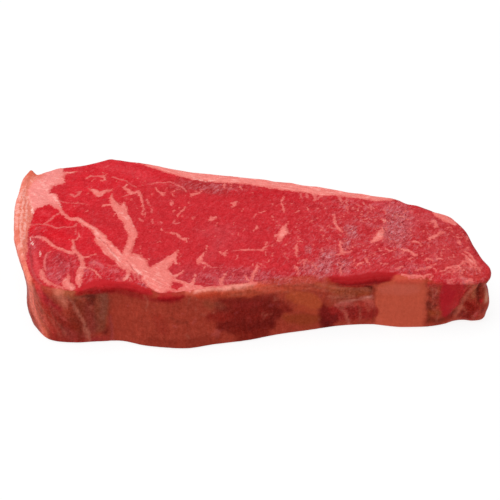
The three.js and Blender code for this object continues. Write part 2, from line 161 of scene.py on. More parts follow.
FLECKS = [
    # upper left
    [(-73.2, 21.7, 0.8), (-71.2, 19.7, 1.6), (-69.6, 18, 1.1), (-68.6, 20.6, 1.5), (-66.5, 21.7, 1),
     (-64.4, 23.2, 0.4)],
    [(-59, 27.8, 0.7), (-59.5, 25.5, 0.9), (-57.4, 24, 0.9), (-56, 22.1, 1.2), (-54, 22, 0.9),
     (-52.6, 23.6, 0.8), (-51.8, 21.4, 0.9), (-50.6, 19, 0.7), (-49.7, 16, 0.6), (-48.8, 13, 0.5),
     (-48, 7.4, 0.3)],
    [(-77.6, 30.6, 0.5), (-76.4, 33, 0.6)], [(-71, 29.2, 0.5), (-69.2, 30.4, 0.7), (-70.6, 33.4, 0.7)],
    [(-45.6, 27.4, 0.4), (-44, 25.3, 0.5), (-42, 24.3, 0.6), (-41, 22.8, 0.8)],
    [(-42, 24.3, 0.5), (-40, 24.6, 0.3)], [(-37.3, 25.8, 0.3), (-36.8, 23.8, 0.4), (-36.4, 21.8, 0.3)],
    [(-36.6, 18.6, 0.4), (-36.3, 17, 0.5), (-36, 15.2, 0.4)],
    # middle
    [(-28.4, 22.6, 0.3), (-28, 24.4, 0.6), (-27, 24.6, 1), (-25.8, 25.2, 0.7), (-24.9, 26.8, 0.4),
     (-24, 28.2, 0.25)],
    [(-32.6, 7.2, 0.4), (-30.4, 12, 0.5), (-29.5, 14.2, 0.5)], [(-34.8, 10.4, 0.5), (-34.2, 11.2, 0.5)],
    [(-38, -2.4, 0.25), (-36, -4, 0.35), (-34, -4.6, 0.4), (-31, -5, 0.7), (-30, -5, 0.8),
     (-29, -6.6, 0.5), (-28, -8.2, 0.5), (-26.4, -8.9, 0.9), (-25.2, -10, 0.4)],
    [(-26.2, -8.4, 0.6), (-24.9, -7.4, 0.3)],
    [(-17.6, 4.9, 0.4), (-17, 6.6, 0.9), (-16.4, 7.6, 1), (-15.2, 8.9, 0.5)],
    [(-17.4, 9.4, 0.3), (-16.6, 7.8, 0.8)], [(-8.5, 17, 0.4), (-8.4, 19, 0.9), (-7.9, 21, 0.5)],
    [(-10, 19.8, 0.3), (-8.4, 19.2, 0.7)], [(-25.2, 6.4, 0.4), (-25.2, 7.4, 0.4)],
    [(-16.4, -11.4, 0.4), (-16.3, -13.4, 0.4)],
    [(-16.4, -15.4, 0.25), (-17, -17.4, 0.5), (-17.4, -19.6, 0.9), (-17.9, -21.6, 1), (-18.1, -23, 0.7)],
    [(-17, -22, 0.5), (-15, -23.4, 0.4), (-13.2, -24.4, 0.25)],
    [(-10, -15.4, 0.25), (-7.8, -15.8, 0.5), (-7.2, -13.6, 0.25)], [(-7.8, -15.8, 0.4), (-6.8, -18, 0.25)],
    [(-5.8, -28.2, 0.4), (-6.3, -31, 0.8), (-6.8, -34, 0.9), (-6.2, -37.4, 0.6)],
    [(12.8, 27.9, 0.5), (13, 25.6, 0.6), (12.7, 23, 0.4), (13.9, 19, 0.5), (14.3, 17.4, 0.6),
     (14.5, 16.2, 0.4)],
    [(16.4, 7.4, 0.3), (16, 4.6, 1.3), (16.2, 1.8, 2.3), (15.2, -1, 1.9), (14.8, -3.4, 1.2),
     (14.5, -5, 0.8)],
    [(18.6, 0.9, 0.4), (16.6, 1.2, 1.6)], [(12.6, -0.8, 0.4), (14.6, -0.6, 1.2)],
    [(3.6, 4.6, 0.3), (3.8, 2.6, 0.5), (3.2, 0.8, 0.5)],
    [(7.9, -11.8, 0.5), (8.2, -10.2, 0.6), (9.4, -8.8, 0.3)],
    [(-1.4, -12.3, 0.4), (5, -11.7, 0.25), (7.8, -11.5, 0.4)],
    [(22.6, -5.8, 0.3), (22.6, -8.5, 0.7), (23, -10.8, 0.6), (22.6, -13.6, 0.4)],
    [(7, -21.4, 0.6), (7.3, -23.8, 0.7), (6.6, -26.5, 0.9), (6, -29.5, 0.8), (6, -32, 0.7),
     (6.4, -35, 0.5)],
    [(2.4, -28.2, 0.3), (3.8, -31, 0.5), (5.6, -34, 0.5)],
    [(22.8, -20, 0.4), (24, -22, 0.6), (25.1, -24.8, 0.3)],
    # towards the tip
    [(36.8, 17, 0.4), (38.5, 9.9, 0.7), (39.7, 6.8, 0.8), (40.9, 4.9, 0.4)],
    [(58.8, 12.1, 0.4), (58.8, 8.5, 1.2), (57.9, 5, 2), (56.3, 1.7, 1.3), (54.7, 0, 0.5)],
    [(41, -1.1, 0.4), (41.3, -4.5, 0.6), (42.4, -7.8, 0.9), (42, -10.2, 0.7), (40.1, -10.8, 0.4)],
    [(42.5, -9.1, 0.6), (44.6, -8.4, 0.3)],
    [(68.6, -3.4, 0.9), (70, -4, 0.7), (71.3, -3.8, 0.7), (72.6, -4.5, 0.6), (73.8, -5.9, 0.6),
     (73.2, -7.8, 0.4), (72, -9.5, 0.3)],
    [(78.7, -8.9, 0.4), (79.5, -7.7, 0.6), (80.6, -7.6, 0.6), (81.7, -8.4, 0.4)],
    [(83.6, -7.3, 0.4), (84.7, -6.2, 0.6), (85.8, -6.9, 0.4)],
    [(78.3, -14, 0.3), (80, -12.9, 0.4), (81.6, -11.5, 0.4)],
    [(87.1, -13.4, 0.4), (88.1, -11.6, 0.5), (89.1, -10, 0.3)],
    [(89.5, -12.8, 0.3), (91.5, -10.3, 0.4), (93.2, -8.6, 0.5), (94.5, -6.9, 0.6), (95.9, -4.4, 0.4)],
    [(91.2, -13.3, 0.2), (92.9, -11.3, 0.4), (94.5, -9.2, 0.4)],
    [(94.3, 0.5, 0.3), (96, -0.4, 0.4), (97.5, -5.2, 0.6), (99.1, -7.1, 0.6), (101.2, -7.4, 0.5),
     (102.2, -9.8, 0.3)],
    [(95.7, -11, 0.3), (94.5, -13.2, 0.3), (95.2, -15.4, 0.2)],
    [(95.6, -16.2, 0.2), (97.4, -15.6, 0.3), (99.3, -15.2, 0.2)],
    [(78.7, -19.5, 0.5), (79.1, -18.4, 0.6), (80.2, -17.3, 0.6), (81.4, -17, 0.4), (82.1, -17.7, 0.4),
     (81.3, -19, 0.5)],
    [(69.4, -20, 0.7), (71.3, -20, 1), (76, -19.5, 1.2), (78.1, -19, 0.9)],
    [(42.5, -18.8, 0.5), (43.7, -22.9, 0.3)], [(-14.7, 34.3, 0.6), (-14, 30.7, 0.3)],
    [(-11.4, 33.9, 0.4), (-11.2, 30.6, 0.2)], [(-7, 33.2, 0.7), (-6.5, 31.1, 0.4)],
    [(49.6, -16.1, 0.4), (51.2, -14.9, 0.7), (52.5, -14.4, 0.4)],
    [(52.6, -10.4, 0.3), (53.7, -13, 0.5), (54.6, -14.1, 0.3)],
    [(26.7, -18.9, 0.4), (27, -17, 0.4), (27.9, -15.2, 0.3)],
    [(29.9, -17.9, 0.3), (31.3, -19, 0.4), (32.7, -20.3, 0.4)],
    [(77.7, 18.9, 0.3), (79.9, 19.5, 0.4), (81.4, 20.7, 0.6), (82.2, 18.7, 0.7), (81.4, 16.2, 0.4)],
    [(80, 6.7, 0.4), (83.4, 11.3, 0.6), (84.6, 13.1, 0.4)],
    [(71.9, 2.3, 0.4), (73.5, 3.7, 0.5), (75.3, 3, 0.6), (76.3, 1, 0.4)],
    [(85.2, -14.7, 0.3), (90.2, -10.1, 0.4), (92.8, -8.4, 0.4)], [(92.4, 9.6, 0.3), (93, 7.4, 0.8)],
    [(80.6, 26.4, 0.5), (83.4, 25.2, 1.6), (86.6, 23.4, 2.1), (89.8, 21.4, 1.5)],
    [(95.1, 2.6, 0.4), (97.8, 0.6, 0.7), (99.6, -3.1, 0.8), (100.6, -6.3, 0.6)],
    [(79.1, 6.8, 0.4), (81.7, 9, 0.9), (84.2, 11.5, 0.8), (86.4, 14, 0.3)],
    [(69.1, -4, 0.5), (70.8, -3, 0.5), (72.6, -4.8, 0.5), (74.5, -6.5, 0.4)],
    [(79.5, 17.9, 0.3), (81.7, 18.9, 0.7), (82.3, 15.8, 0.5)], [(90.9, 11.8, 0.3), (93.6, 12, 0.4)],
    [(74.9, -16.2, 0.3), (78.3, -14.2, 0.4), (81.7, -12.5, 0.3)],
    [(64.2, 21.5, 0.3), (66.9, 20.4, 0.4), (69.7, 18.7, 0.3)], [(46, 26, 0.3), (48.8, 24.9, 0.3)],
    [(41.7, 23, 0.4), (42.7, 21.7, 0.4)], [(52.2, 27.1, 0.3), (54.2, 24.3, 0.4)],
    [(58.2, 17, 0.4), (60.5, 16, 0.4)], [(45.6, 6.7, 0.2), (45.9, 3.9, 0.2)],
    [(49.4, 15.4, 0.2), (52, 16.6, 0.3)], [(60.4, -3.1, 0.2), (63.1, -4.9, 0.3), (65.6, -3.8, 0.2)],
    [(82.8, 1.8, 0.2), (84.6, 0.1, 0.2)], [(41.4, -15.9, 0.3), (44.5, -17.4, 0.3)],
    [(59.3, -14.2, 0.2), (62.8, -14.4, 0.3)], [(66.4, -16.5, 0.3), (69.7, -14.7, 0.3)],
    [(7.6, 21.4, 0.2), (10.5, 20.2, 0.3)], [(4, 14.1, 0.2), (6.5, 15.9, 0.2)],
    [(19.5, 16.1, 0.2), (21.1, 17.8, 0.3)],
    [(-14.4, -39.3, 0.2), (-11.6, -37.8, 0.5), (-6.2, -36.6, 0.5), (4.5, -33.3, 0.4), (8.5, -32, 0.2)],
    [(-23.6, -41, 1.1), (-20.8, -39.5, 1.4), (-17.5, -38.4, 1.3), (-14.6, -38.2, 0.6)],
    [(96.1, -1.5, 0.7), (97.9, -3.7, 1.1), (99.7, -5.2, 0.8)],
]

# Thin threads between muscle bundles, duller than the flecks.
THREADS = [
    [(-95.4, -5.2, 0.3), (-91, -4.8, 0.4), (-88.6, -5.2, 0.5), (-86, -6.4, 0.5), (-84, -7.4, 0.6),
     (-81.6, -6.5, 0.5), (-78.9, -6.2, 0.4), (-76.4, -5.1, 0.4), (-75.9, -3.4, 0.3)],
    [(-89.8, -4.2, 0.3), (-88, -1.5, 0.4), (-86.9, 1.6, 0.5), (-85.2, 3.4, 0.4)],
    [(-75.6, -7, 0.25), (-74.8, -9, 0.3), (-74.6, -11, 0.3)],
    [(-86.5, 12.7, 0.4), (-83.5, 11.6, 0.35), (-79.8, 11.3, 0.3), (-76.2, 11.7, 0.25), (-72.4, 10.7, 0.2)],
    [(-82.8, 17.6, 0.6), (-80.4, 16, 0.7), (-78.6, 19.6, 0.6), (-80.4, 19, 0.3)],
    [(-77.5, 32, 0.4), (-74.4, 33, 0.5), (-71.6, 32.6, 0.7), (-69.5, 31.5, 0.4)],
    [(-49, 30, 0.25), (-46, 31.5, 0.4), (-43, 32, 0.4), (-40, 32.8, 0.4), (-34, 29.5, 0.5),
     (-32, 27.6, 0.5), (-31, 26, 0.4)],
    [(-66, 33, 0.4), (-60, 31, 0.4), (-57, 28.5, 0.3), (-54, 26.5, 0.3)],
    [(-59.4, 18.2, 0.25), (-56.6, 20.6, 0.4)],
    [(-47.6, 18.2, 0.4), (-46.6, 15.6, 0.4), (-45.4, 13.4, 0.25)], [(-44, 10.8, 0.5), (-43.9, 8.4, 0.4)],
    [(-42.9, 4, 0.4), (-42.5, 1.4, 0.4)], [(-39.4, 2.2, 0.5), (-38.4, 1.6, 0.5)],
    [(-48.8, 3.8, 0.6), (-47, 2.4, 0.4)], [(-32.9, 4.2, 0.4), (-32.7, 2, 0.5), (-30.4, 2.8, 0.3)],
    [(20.6, 31.6, 0.5), (21.4, 28, 0.4)], [(23.4, 31.6, 0.5), (23.6, 28.6, 0.5)],
    [(26, 31, 0.5), (27.4, 28.6, 0.7), (26.6, 26.4, 0.4)], [(29.6, 31, 0.5), (28.4, 28.6, 0.5)],
    [(37.6, 31, 0.6), (39, 28, 0.6), (40.2, 26.4, 0.4)], [(41.4, 30.8, 0.5), (41.2, 28, 0.4)],
    [(36.6, 7.4, 0.3), (38.4, 7, 0.4)], [(42.8, -8, 0.5), (46, -8.2, 0.3)],
    [(33.6, -7, 0.4), (34.2, -8.6, 0.4)], [(31.6, 5, 0.3), (34, 4.8, 0.3)], [(13, -2, 0.3), (15, 2, 0.3)],
    [(9.6, -12.6, 0.3), (10.2, -15, 0.3)], [(-2.2, -16.4, 0.3), (-2.8, -19, 0.3)],
    [(1.6, 10.4, 0.3), (2.4, 12.8, 0.3)], [(88.6, -18.6, 0.3), (92, -16.8, 0.3)],
    [(86.6, -16, 0.3), (90, -13.4, 0.3)],
    [(-83.4, -23.1, 0.4), (-84.4, -25.5, 0.4), (-83.7, -33.5, 0.4), (-82.5, -36.6, 0.4)],
    # hairs of the middle of the face
    [(-4.5, -13.6, 0.2), (0.1, -12.3, 0.3), (5.3, -12.1, 0.3), (9.6, -11.2, 0.2)],
    [(7.9, -11.4, 0.2), (9.4, -9.2, 0.2), (11.5, -8.3, 0.2)],
    [(-15.9, -22.7, 0.2), (-13, -24.8, 0.3), (-7.8, -24.9, 0.2)], [(-8.9, -16.7, 0.2), (-6.5, -15.1, 0.3)],
    [(25.1, -17.9, 0.3), (26.6, -15.7, 0.4), (28.5, -17.4, 0.2)], [(27.4, -15, 0.2), (33, -19.4, 0.2)],
    [(7.2, -20.1, 0.2), (10.9, -22.2, 0.2)], [(18.7, -14.7, 0.2), (19.9, -17.2, 0.2)],
    # the comb below the heart
    [(-45.1, -32.9, 0.4), (-44.1, -35, 0.3), (-43.5, -37.4, 0.2)],
    [(-42.8, -34.2, 0.4), (-42.1, -36.6, 0.3), (-40.9, -38.8, 0.2)],
    [(-40.8, -35.5, 0.3), (-40.4, -37.6, 0.4), (-39.3, -39.6, 0.2)],
    [(-45.4, -36.4, 0.3), (-44.2, -38.6, 0.2)], [(-38.4, -36.8, 0.3), (-37.5, -39.7, 0.2)],
    [(-36.3, -39, 0.4), (-35.9, -41, 0.3)], [(-43, -40.1, 0.2), (-41.4, -41.5, 0.3)],
    [(-52, -28.3, 0.2), (-54.3, -30.3, 0.3), (-56.5, -30, 0.2)],
]

# Fine whitish lines and fine dark lines: along the long seam, in the corner and in the round muscle. Two
# whitish lines are painted highlights and one dark line is a painted shadow, as marked; the rest are the
# meat's own tone.
PALE_LINES = [
    [(-104.2, 20.4, 0.3), (-101.5, -0.1, 0.5), (-99.2, -12, 0.4), (-96.4, -22.4, 0.3)],
    [(-104.9, 22.4, 0.2), (-104.8, 13, 0.3), (-103.3, 2, 0.3), (-101, -9.2, 0.2)],
    [(-102.4, 15.4, 0.2), (-98.7, -4.4, 0.4), (-96.5, -16.4, 0.3)],
    [(-67.8, -5.8, 0.2), (-65.4, -8.8, 0.3), (-63.1, -11.6, 0.2)],
    [(-60.9, -16.2, 0.1), (-55.2, -22.9, 0.3), (-53.3, -25.1, 0.4), (-51.8, -27.3, 0.3)],
    # painted highlight along the strip's crease
    [(-101.9, 15.9, 0.2), (-99.1, 9.1, 0.4), (-97.4, 5.5, 0.4), (-96.6, 3, 0.2)],
    [(-45.1, -30.6, 0.2), (-43, -32.9, 0.3), (-41.4, -34.4, 0.2)],
    # painted highlight along the long seam
    [(-92.3, 18.2, 0.2), (-89.6, 14.6, 0.3), (-87.1, 11.4, 0.3), (-85.1, 8.3, 0.2)],
    [(-98.9, 27.3, 0.2), (-96.3, 24.2, 0.2), (-94, 21.9, 0.2)],
    [(-101.3, 29.3, 0.1), (-97.9, 24.9, 0.2), (-94.6, 20.4, 0.2)],
    [(-101.7, 18.4, 0.1), (-98.2, 15.7, 0.2), (-94.8, 15, 0.2)],
    [(-29.7, 37.8, 0.2), (-26.7, 36.1, 0.4), (-23.3, 35.3, 0.4), (-20.3, 36.9, 0.3), (-18.3, 38.5, 0.2)],
]
DARK_LINES = [
    [(-64.3, -12.2, 0.2), (-61.6, -14.6, 0.2), (-59.1, -17.4, 0.3), (-55.1, -22.5, 0.2)],
    [(-48.7, -26.5, 0.1), (-46.6, -29.5, 0.3), (-44.9, -31.9, 0.3), (-42.4, -33.9, 0.3),
     (-41.3, -34.9, 0.2)],
    # painted shadow along the strip's border
    [(-95.6, -10.6, 0.3), (-94.8, -15.4, 0.4), (-93.3, -20.8, 0.4), (-88.7, -33.3, 0.4)],
    [(-81.7, -23, 0.2), (-79.3, -23.8, 0.3), (-77.1, -25.9, 0.3), (-75.5, -29.2, 0.2)],
    [(-81.8, -24.6, 0.2), (-79.4, -25.5, 0.3), (-77.4, -27.7, 0.3), (-76.1, -30.6, 0.2)],
    [(-81.8, -26.7, 0.2), (-79.8, -27.5, 0.3), (-78.1, -29.4, 0.3), (-77.1, -32, 0.2)],
    [(-76.2, -23.9, 0.3), (-74.1, -27.4, 0.4), (-70.6, -36.3, 0.4), (-68.9, -40.2, 0.3)],
    [(-72.5, -23.5, 0.3), (-70.7, -26.8, 0.4), (-69.1, -30, 0.3)],
    [(-84.1, -24.2, 0.2), (-83.7, -28.1, 0.3), (-82.5, -33.4, 0.3), (-80.9, -37.8, 0.2)],
    [(71.2, -17.6, 0.3), (72.5, -18.8, 0.6), (73.4, -19.5, 0.3)],
    [(-89.6, 6.9, 0.2), (-86.9, 4.9, 0.3), (-84.3, 2.3, 0.2)],
]

# Areas where short specks of marbling lie thick: x from, x to, y from, y to, how many.
SPECK_AREAS = [
    (-80, -44, 4, 42, 36), (-48, 10, -30, 34, 44), (8, 50, -22, 30, 90), (40, 100, -16, 28, 190),
    (-66, -34, -44, -24, 16),
]
# Lean of a speck in radians, and its half length, half breadth and taper.
SPECK_LEAN, SPECK_LENGTHS, SPECK_BREADTHS, SPECK_TAPER = 0.5, (0.3, 1.3), (0.05, 0.26), 0.6

# ---- fine setting of the mesh ---------------------------------------------------------------------

ALONG, ACROSS = 320, 152          # columns along the long edges, and round the short ends
FOOT_ROWS, WALL_ROWS, RIM_ROWS = 4, 24, 8
PATH_STEPS = 24                   # steps between two stations of the outline
NORMAL_PASSES = 40                # smoothing of the outline's normals


def smoothstep(value, start, end):
    """0 below start, 1 above end, and 3t^2 - 2t^3 between them."""
    t = np.clip((value - start) / (end - start), 0, 1)
    return t * t * (3 - 2 * t)


def mix(a, b, weight):
    """a where the weight is 0, b where it is 1, on the straight line between otherwise."""
    return a + (b - a) * weight


def paint(code):
    """A colour written as six hexadecimal digits, as linear red, green and blue."""
    parts = np.array([int(code[i:i + 2], 16) / 255 for i in (0, 2, 4)])
    return np.where(parts <= 0.04045, parts / 12.92, ((parts + 0.055) / 1.055) ** 2.4)


def laid(base, code, weight):
    """The base colour with a painted one laid over it, by a weight for each point."""
    return mix(base, paint(code), weight[:, None])


def lattice_value(cell, seed):
    """A repeatable value from -1 to 1 for each whole-number cell, by mixing its three numbers."""
    x, y, z = (cell[:, k].astype(np.uint64) for k in range(3))
    key = x * np.uint64(73856093) ^ y * np.uint64(19349663) ^ z * np.uint64(83492791)
    key = (key ^ np.uint64(seed * 40503)) & np.uint64(0xFFFFFFFF)
    for factor in (2246822519, 3266489917):
        key = ((key ^ (key >> np.uint64(15))) * np.uint64(factor)) & np.uint64(0xFFFFFFFF)
    return (key ^ (key >> np.uint64(16))).astype(float) / 2147483647.5 - 1


def ripple(points, size, seed):
    """Soft noise from about -1 to 1: values on a lattice of the given size, blended by a
    smoothstep along each axis."""
    scaled = points / size + 1000
    cell = np.floor(scaled).astype(np.int64)
    part = scaled - cell
    part = part * part * (3 - 2 * part)
    total = np.zeros(len(points))
    for corner in np.ndindex(2, 2, 2):
        weight = np.prod(np.where(corner, part, 1 - part), axis=1)
        total += weight * lattice_value(cell + np.array(corner), seed)
    return total


def bends(points, size, *seeds):
    """Sideways pushes from about -1 to 1 along X and Y: one soft noise for each seed."""
    return np.stack([ripple(points, size, seed) for seed in seeds], axis=1)


def smooth_path(stations, closed=False, steps=6):
    """A centripetal Catmull-Rom curve through the stations: each span is the cubic whose ends
    leave and arrive along slopes weighted by the square roots of the distances around them."""
    p = np.asarray(stations, float)
    if closed:
        row = np.concatenate([p[-1:], p, p[:2]])
    else:
        row = np.concatenate([2 * p[:1] - p[1:2], p, 2 * p[-1:] - p[-2:-1]])
    before, start, end, after = row[:-3], row[1:-2], row[2:-1], row[3:]
    d0, d1, d2 = (np.maximum(np.linalg.norm(b - a, axis=1), 1e-4)[:, None] ** 0.5
                  for a, b in ((before, start), (start, end), (end, after)))
    leave = ((start - before) / d0 - (end - before) / (d0 + d1) + (end - start) / d1) * d1
    arrive = ((end - start) / d1 - (after - start) / (d1 + d2) + (after - end) / d2) * d1
    t = np.linspace(0, 1, steps, endpoint=False)[:, None, None]
    path = ((2 * t**3 - 3 * t**2 + 1) * start + (t**3 - 2 * t**2 + t) * leave
            + (3 * t**2 - 2 * t**3) * end + (t**3 - t**2) * arrive)
    path = path.transpose(1, 0, 2).reshape(-1, p.shape[1])
    return path if closed else np.concatenate([path, p[-1:]])


# ---- outline and surfaces --------------------------------------------------------------------------

def side_columns():
    """Place, overhang and outward normal of each column round the outline, and the way travelled
    round it. The closed curve is cut at the first station of each run, and each run is divided
    into equal lengths."""
    runs = [TIP, FAT_EDGE, BROAD_END, CUT_EDGE]
    path = smooth_path([s for run in runs for s in run], closed=True, steps=PATH_STEPS)
    path = np.concatenate([path, path[:1]])
    length = np.concatenate([[0], np.cumsum(np.linalg.norm(np.diff(path[:, :2], axis=0), axis=1))])
    cuts = np.cumsum([0] + [len(run) * PATH_STEPS for run in runs])
    wanted = np.concatenate([np.linspace(length[a], length[b], n, endpoint=False)
                             for a, b, n in zip(cuts[:-1], cuts[1:], (ACROSS, ALONG, ACROSS, ALONG))])
    columns = np.stack([np.interp(wanted, length, path[:, k]) for k in range(3)], axis=1)
    ahead = np.roll(columns, -1, axis=0) - np.roll(columns, 1, axis=0)
    normal = np.stack([ahead[:, 1], -ahead[:, 0]], axis=1)
    for _ in range(NORMAL_PASSES):
        normal /= np.linalg.norm(normal, axis=1)[:, None]
        normal = (2 * normal + np.roll(normal, 1, axis=0) + np.roll(normal, -1, axis=0)) / 4
    normal /= np.linalg.norm(normal, axis=1)[:, None]
    return columns[:, :2], columns[:, 2], normal, np.append(wanted, length[-1])


def border_depth(border, x, y):
    """Signed distance from a border of straight stretches, positive on its right-hand side."""
    best = np.full(np.shape(x), 1e9)
    side = np.ones(np.shape(x))
    for (ax, ay), (bx, by) in zip(border[:-1], border[1:]):
        dx, dy = bx - ax, by - ay
        t = np.clip(((x - ax) * dx + (y - ay) * dy) / (dx * dx + dy * dy), 0, 1)
        distance = np.hypot(x - ax - t * dx, y - ay - t * dy)
        nearer = distance < best
        best = np.where(nearer, distance, best)
        side = np.where(nearer, np.sign((x - ax) * dy - (y - ay) * dx), side)
    return best * side


def face_height(x, y):
    """Height of the upper face without its crown: the thickness, less the thinning to the tip,
    plus round swells that fall off as exp(-r^2), with the crease and step of the fat strip."""
    z = THICKNESS - CROWN - TIP_DROP * smoothstep(x, TIP_START, TIP_END)
    for cx, cy, along, across, rise in FACE_SWELLS:
        z = z + rise * np.exp(-((x - cx) / along) ** 2 - ((y - cy) / across) ** 2)
    depth = border_depth(STRIP_BORDER, x, y)
    step = STRIP_RISE * smoothstep(depth, 0, STRIP_STEP)
    return z + step - STRIP_GROOVE * np.exp(-(depth / STRIP_GROOVE_REACH) ** 2)


def side_swell(x, y, z):
    """How far the lips and hollows push the side out: each falls off as exp(-r^2) round its place."""
    out = 0 * z
    for sx, sy, sz, along, up, push in SIDE_SWELLS:
        near = (np.hypot(x - sx, y - sy) / along) ** 2
        out = out + push * np.exp(-near - ((z - sz) / up) ** 2)
    return out


def side_surface(place, overhang, normal):
    """Rings of the side from the foot to the rim: a quarter round at the foot, the upright wall
    leaning by its overhang and swelling at its lips, and a quarter round into the upper face."""
    x, y = place.T
    foot = mix(FOOT_ROUND, TIP_FOOT_ROUND, smoothstep(x, TIP_START, TIP_END))
    rim_out = overhang / 2 - TOP_ROUND + side_swell(x, y, THICKNESS)
    top = face_height(*(place + normal * rim_out[:, None]).T)
    foot_turn = np.linspace(-math.pi / 2, 0, FOOT_ROWS, endpoint=False)[:, None]
    wall_part = np.linspace(0, 1, WALL_ROWS, endpoint=False)[:, None]
    rim_turn = np.linspace(0, math.pi / 2, RIM_ROWS + 1)[:, None]
    inset = np.concatenate([foot * (1 - np.cos(foot_turn)), 0 * foot * wall_part,
                            TOP_ROUND * (1 - np.cos(rim_turn)) + 0 * foot])
    z = np.concatenate([foot * (1 + np.sin(foot_turn)), mix(foot, top - TOP_ROUND, wall_part),
                        top - TOP_ROUND * (1 - np.sin(rim_turn))])
    out = overhang * (z / THICKNESS - 0.5) - inset + side_swell(x, y, z)
    turn = np.concatenate([foot_turn, 0 * wall_part, rim_turn]) + 0 * z
    rings = np.stack([x + normal[:, 0] * out, y + normal[:, 1] * out, z], axis=2)
    facing = np.stack([normal[:, 0] * np.cos(turn), normal[:, 1] * np.cos(turn), np.sin(turn)], axis=2)
    return rings, facing


def ring_sides(ring, along, across):
    """The four runs of a ring of columns, each in the direction of the patch that it bounds:
    cut edge and fat edge towards the tip, broad end and tip towards the fat edge."""
    closed = np.concatenate([ring, ring[:1]])
    tip = closed[:across + 1]
    fat = closed[across:across + along + 1][::-1]
    end = closed[across + along:2 * across + along + 1][::-1]
    cut = closed[2 * across + along:]
    return cut, fat, end, tip


def blended_patch(ring, along, across):
    """A Coons patch inside a ring: the two blends of opposite sides, less the blend of corners."""
    cut, fat, end, tip = ring_sides(ring, along, across)
    u = np.linspace(0, 1, along + 1)[:, None, None]
    v = np.linspace(0, 1, across + 1)[None, :, None]
    across_blend = (1 - v) * cut[:, None] + v * fat[:, None]
    along_blend = (1 - u) * end[None] + u * tip[None]
    corners = ((1 - u) * (1 - v) * cut[0] + u * (1 - v) * cut[-1]
               + (1 - u) * v * fat[0] + u * v * fat[-1])
    return across_blend + along_blend - corners, u[..., 0], v[..., 0]


# ---- fields over the surface -------------------------------------------------------------------------

FIELD_REACH = 3.0     # how far outside a band its depth is still followed
TONE_FOOT = 25.5      # way down the cut side below which its tones run straight to the foot


def band_depth(bands, at):
    """How deep each place lies in the nearest band: the half breadth at the nearest point of the
    band's middle line, less the distance to that line. Outside it is negative."""
    order = np.argsort(at[:, 0])
    sorted_at = at[order]
    depth = np.full(len(at), -FIELD_REACH)
    for band in bands:
        path = smooth_path(band, steps=4)
        for a, b in zip(path[:-1], path[1:]):
            reach = FIELD_REACH + max(a[2], b[2])
            ends = [min(a[0], b[0]) - reach, max(a[0], b[0]) + reach]
            first, last = np.searchsorted(sorted_at[:, 0], ends)
            offset = sorted_at[first:last] - a[:2]
            run = b[:2] - a[:2]
            t = np.clip(offset @ run / (run @ run + 1e-9), 0, 1)
            inside = mix(a[2], b[2], t) - np.linalg.norm(offset - t[:, None] * run, axis=1)
            depth[first:last] = np.maximum(depth[first:last], inside)
    result = np.empty_like(depth)
    result[order] = depth
    return result


def specks(rng):
    """Short straight bands of marbling, scattered over the speck areas, mostly across the steak."""
    bands = []
    for x0, x1, y0, y1, count in SPECK_AREAS:
        for _ in range(count):
            x, y = rng.uniform(x0, x1), rng.uniform(y0, y1)
            lean = rng.normal(0, SPECK_LEAN)
            length = rng.uniform(*SPECK_LENGTHS)
            breadth = rng.uniform(*SPECK_BREADTHS)
            dx, dy = length * math.sin(lean), length * math.cos(lean)
            bands.append([(x - dx, y - dy, breadth * SPECK_TAPER), (x + dx, y + dy, breadth)])
    return bands


# ---- colours of the meat -----------------------------------------------------------------------------

# The frosted mauve and the pale stroke are partly the lean's own tone and partly painted sheen.
LEAN, BRIGHT_LEAN, DEEP_LEAN, DULL_LEAN = "C2262D", "CE222C", "CC1622", "AE2C2E"
PURPLE_LEAN, RIGHT_LEAN, BROWN_LEAN, PALE_LEAN, MAUVE_AND_SHEEN = "B8343B", "BE2D32", "B83032", "CC524E", "C86468"
FAT, RIM_FAT, CORNER_FAT, STRIP_FAT, STRIP_EDGE = "E87C74", "EA827A", "EC8A84", "E67E6C", "D6644A"
SKIN, BACK_LEAN, SINEW, RIM_SKIN = "A43A2A", "AC2830", "B4604E", "CC5640"
# The darkest lip red is a painted shade for the lip's lower part.
LIP_RED, LIP_RIGHT, LIP_PAINTED_SHADE, SEAM_EDGE, FIBRE = "BC2026", "A81C20", "8C1416", "D44C4A", "DE6E6A"
# The near-white is a painted highlight for small glints of moisture.
STROKE, DARK_STROKE, PALE_LINE, DARK_LINE, PAINTED_GLINT_WHITE = "D2848A", "96202A", "FCC0B6", "9C1C24", "FFD8CC"

# Patches of another tone on the upper face: x, y, reach along X, reach along Y, colour, strength
# and how softly the edge fades.
FACE_TONES = [
    (-74, 28, 14, 18, BRIGHT_LEAN, 1, 0.7), (-58, 38, 24, 9, BRIGHT_LEAN, 0.8, 0.7),
    (-86, -4, 11, 11, DEEP_LEAN, 1, 0.5), (-76, -14, 14, 9, BRIGHT_LEAN, 0.8, 0.6),
    (-66, -14, 9, 9, BRIGHT_LEAN, 0.8, 0.7), (-77, -34, 6.4, 9, "C8343B", 0.8, 0.6),
    (-58, -34, 10, 6, BRIGHT_LEAN, 0.5, 0.7), (-20, 31, 18, 5, DULL_LEAN, 0.9, 0.7),
    (4, 28, 16, 7, "BC242A", 0.8, 0.7), (0, -31, 34, 6, PURPLE_LEAN, 0.9, 0.8),
    (-8, -4, 12, 8, PURPLE_LEAN, 0.25, 0.8), (60, 4, 34, 26, RIGHT_LEAN, 0.8, 0.8),
    (90, 8, 14, 14, BROWN_LEAN, 0.8, 0.7), (95, -9, 7, 6, PALE_LEAN, 0.4, 0.8),
    (101, -13, 6, 5, "BE3834", 0.7, 0.7), (-91, -24, 3.4, 12, "C8363E", 0.7, 0.7),
]

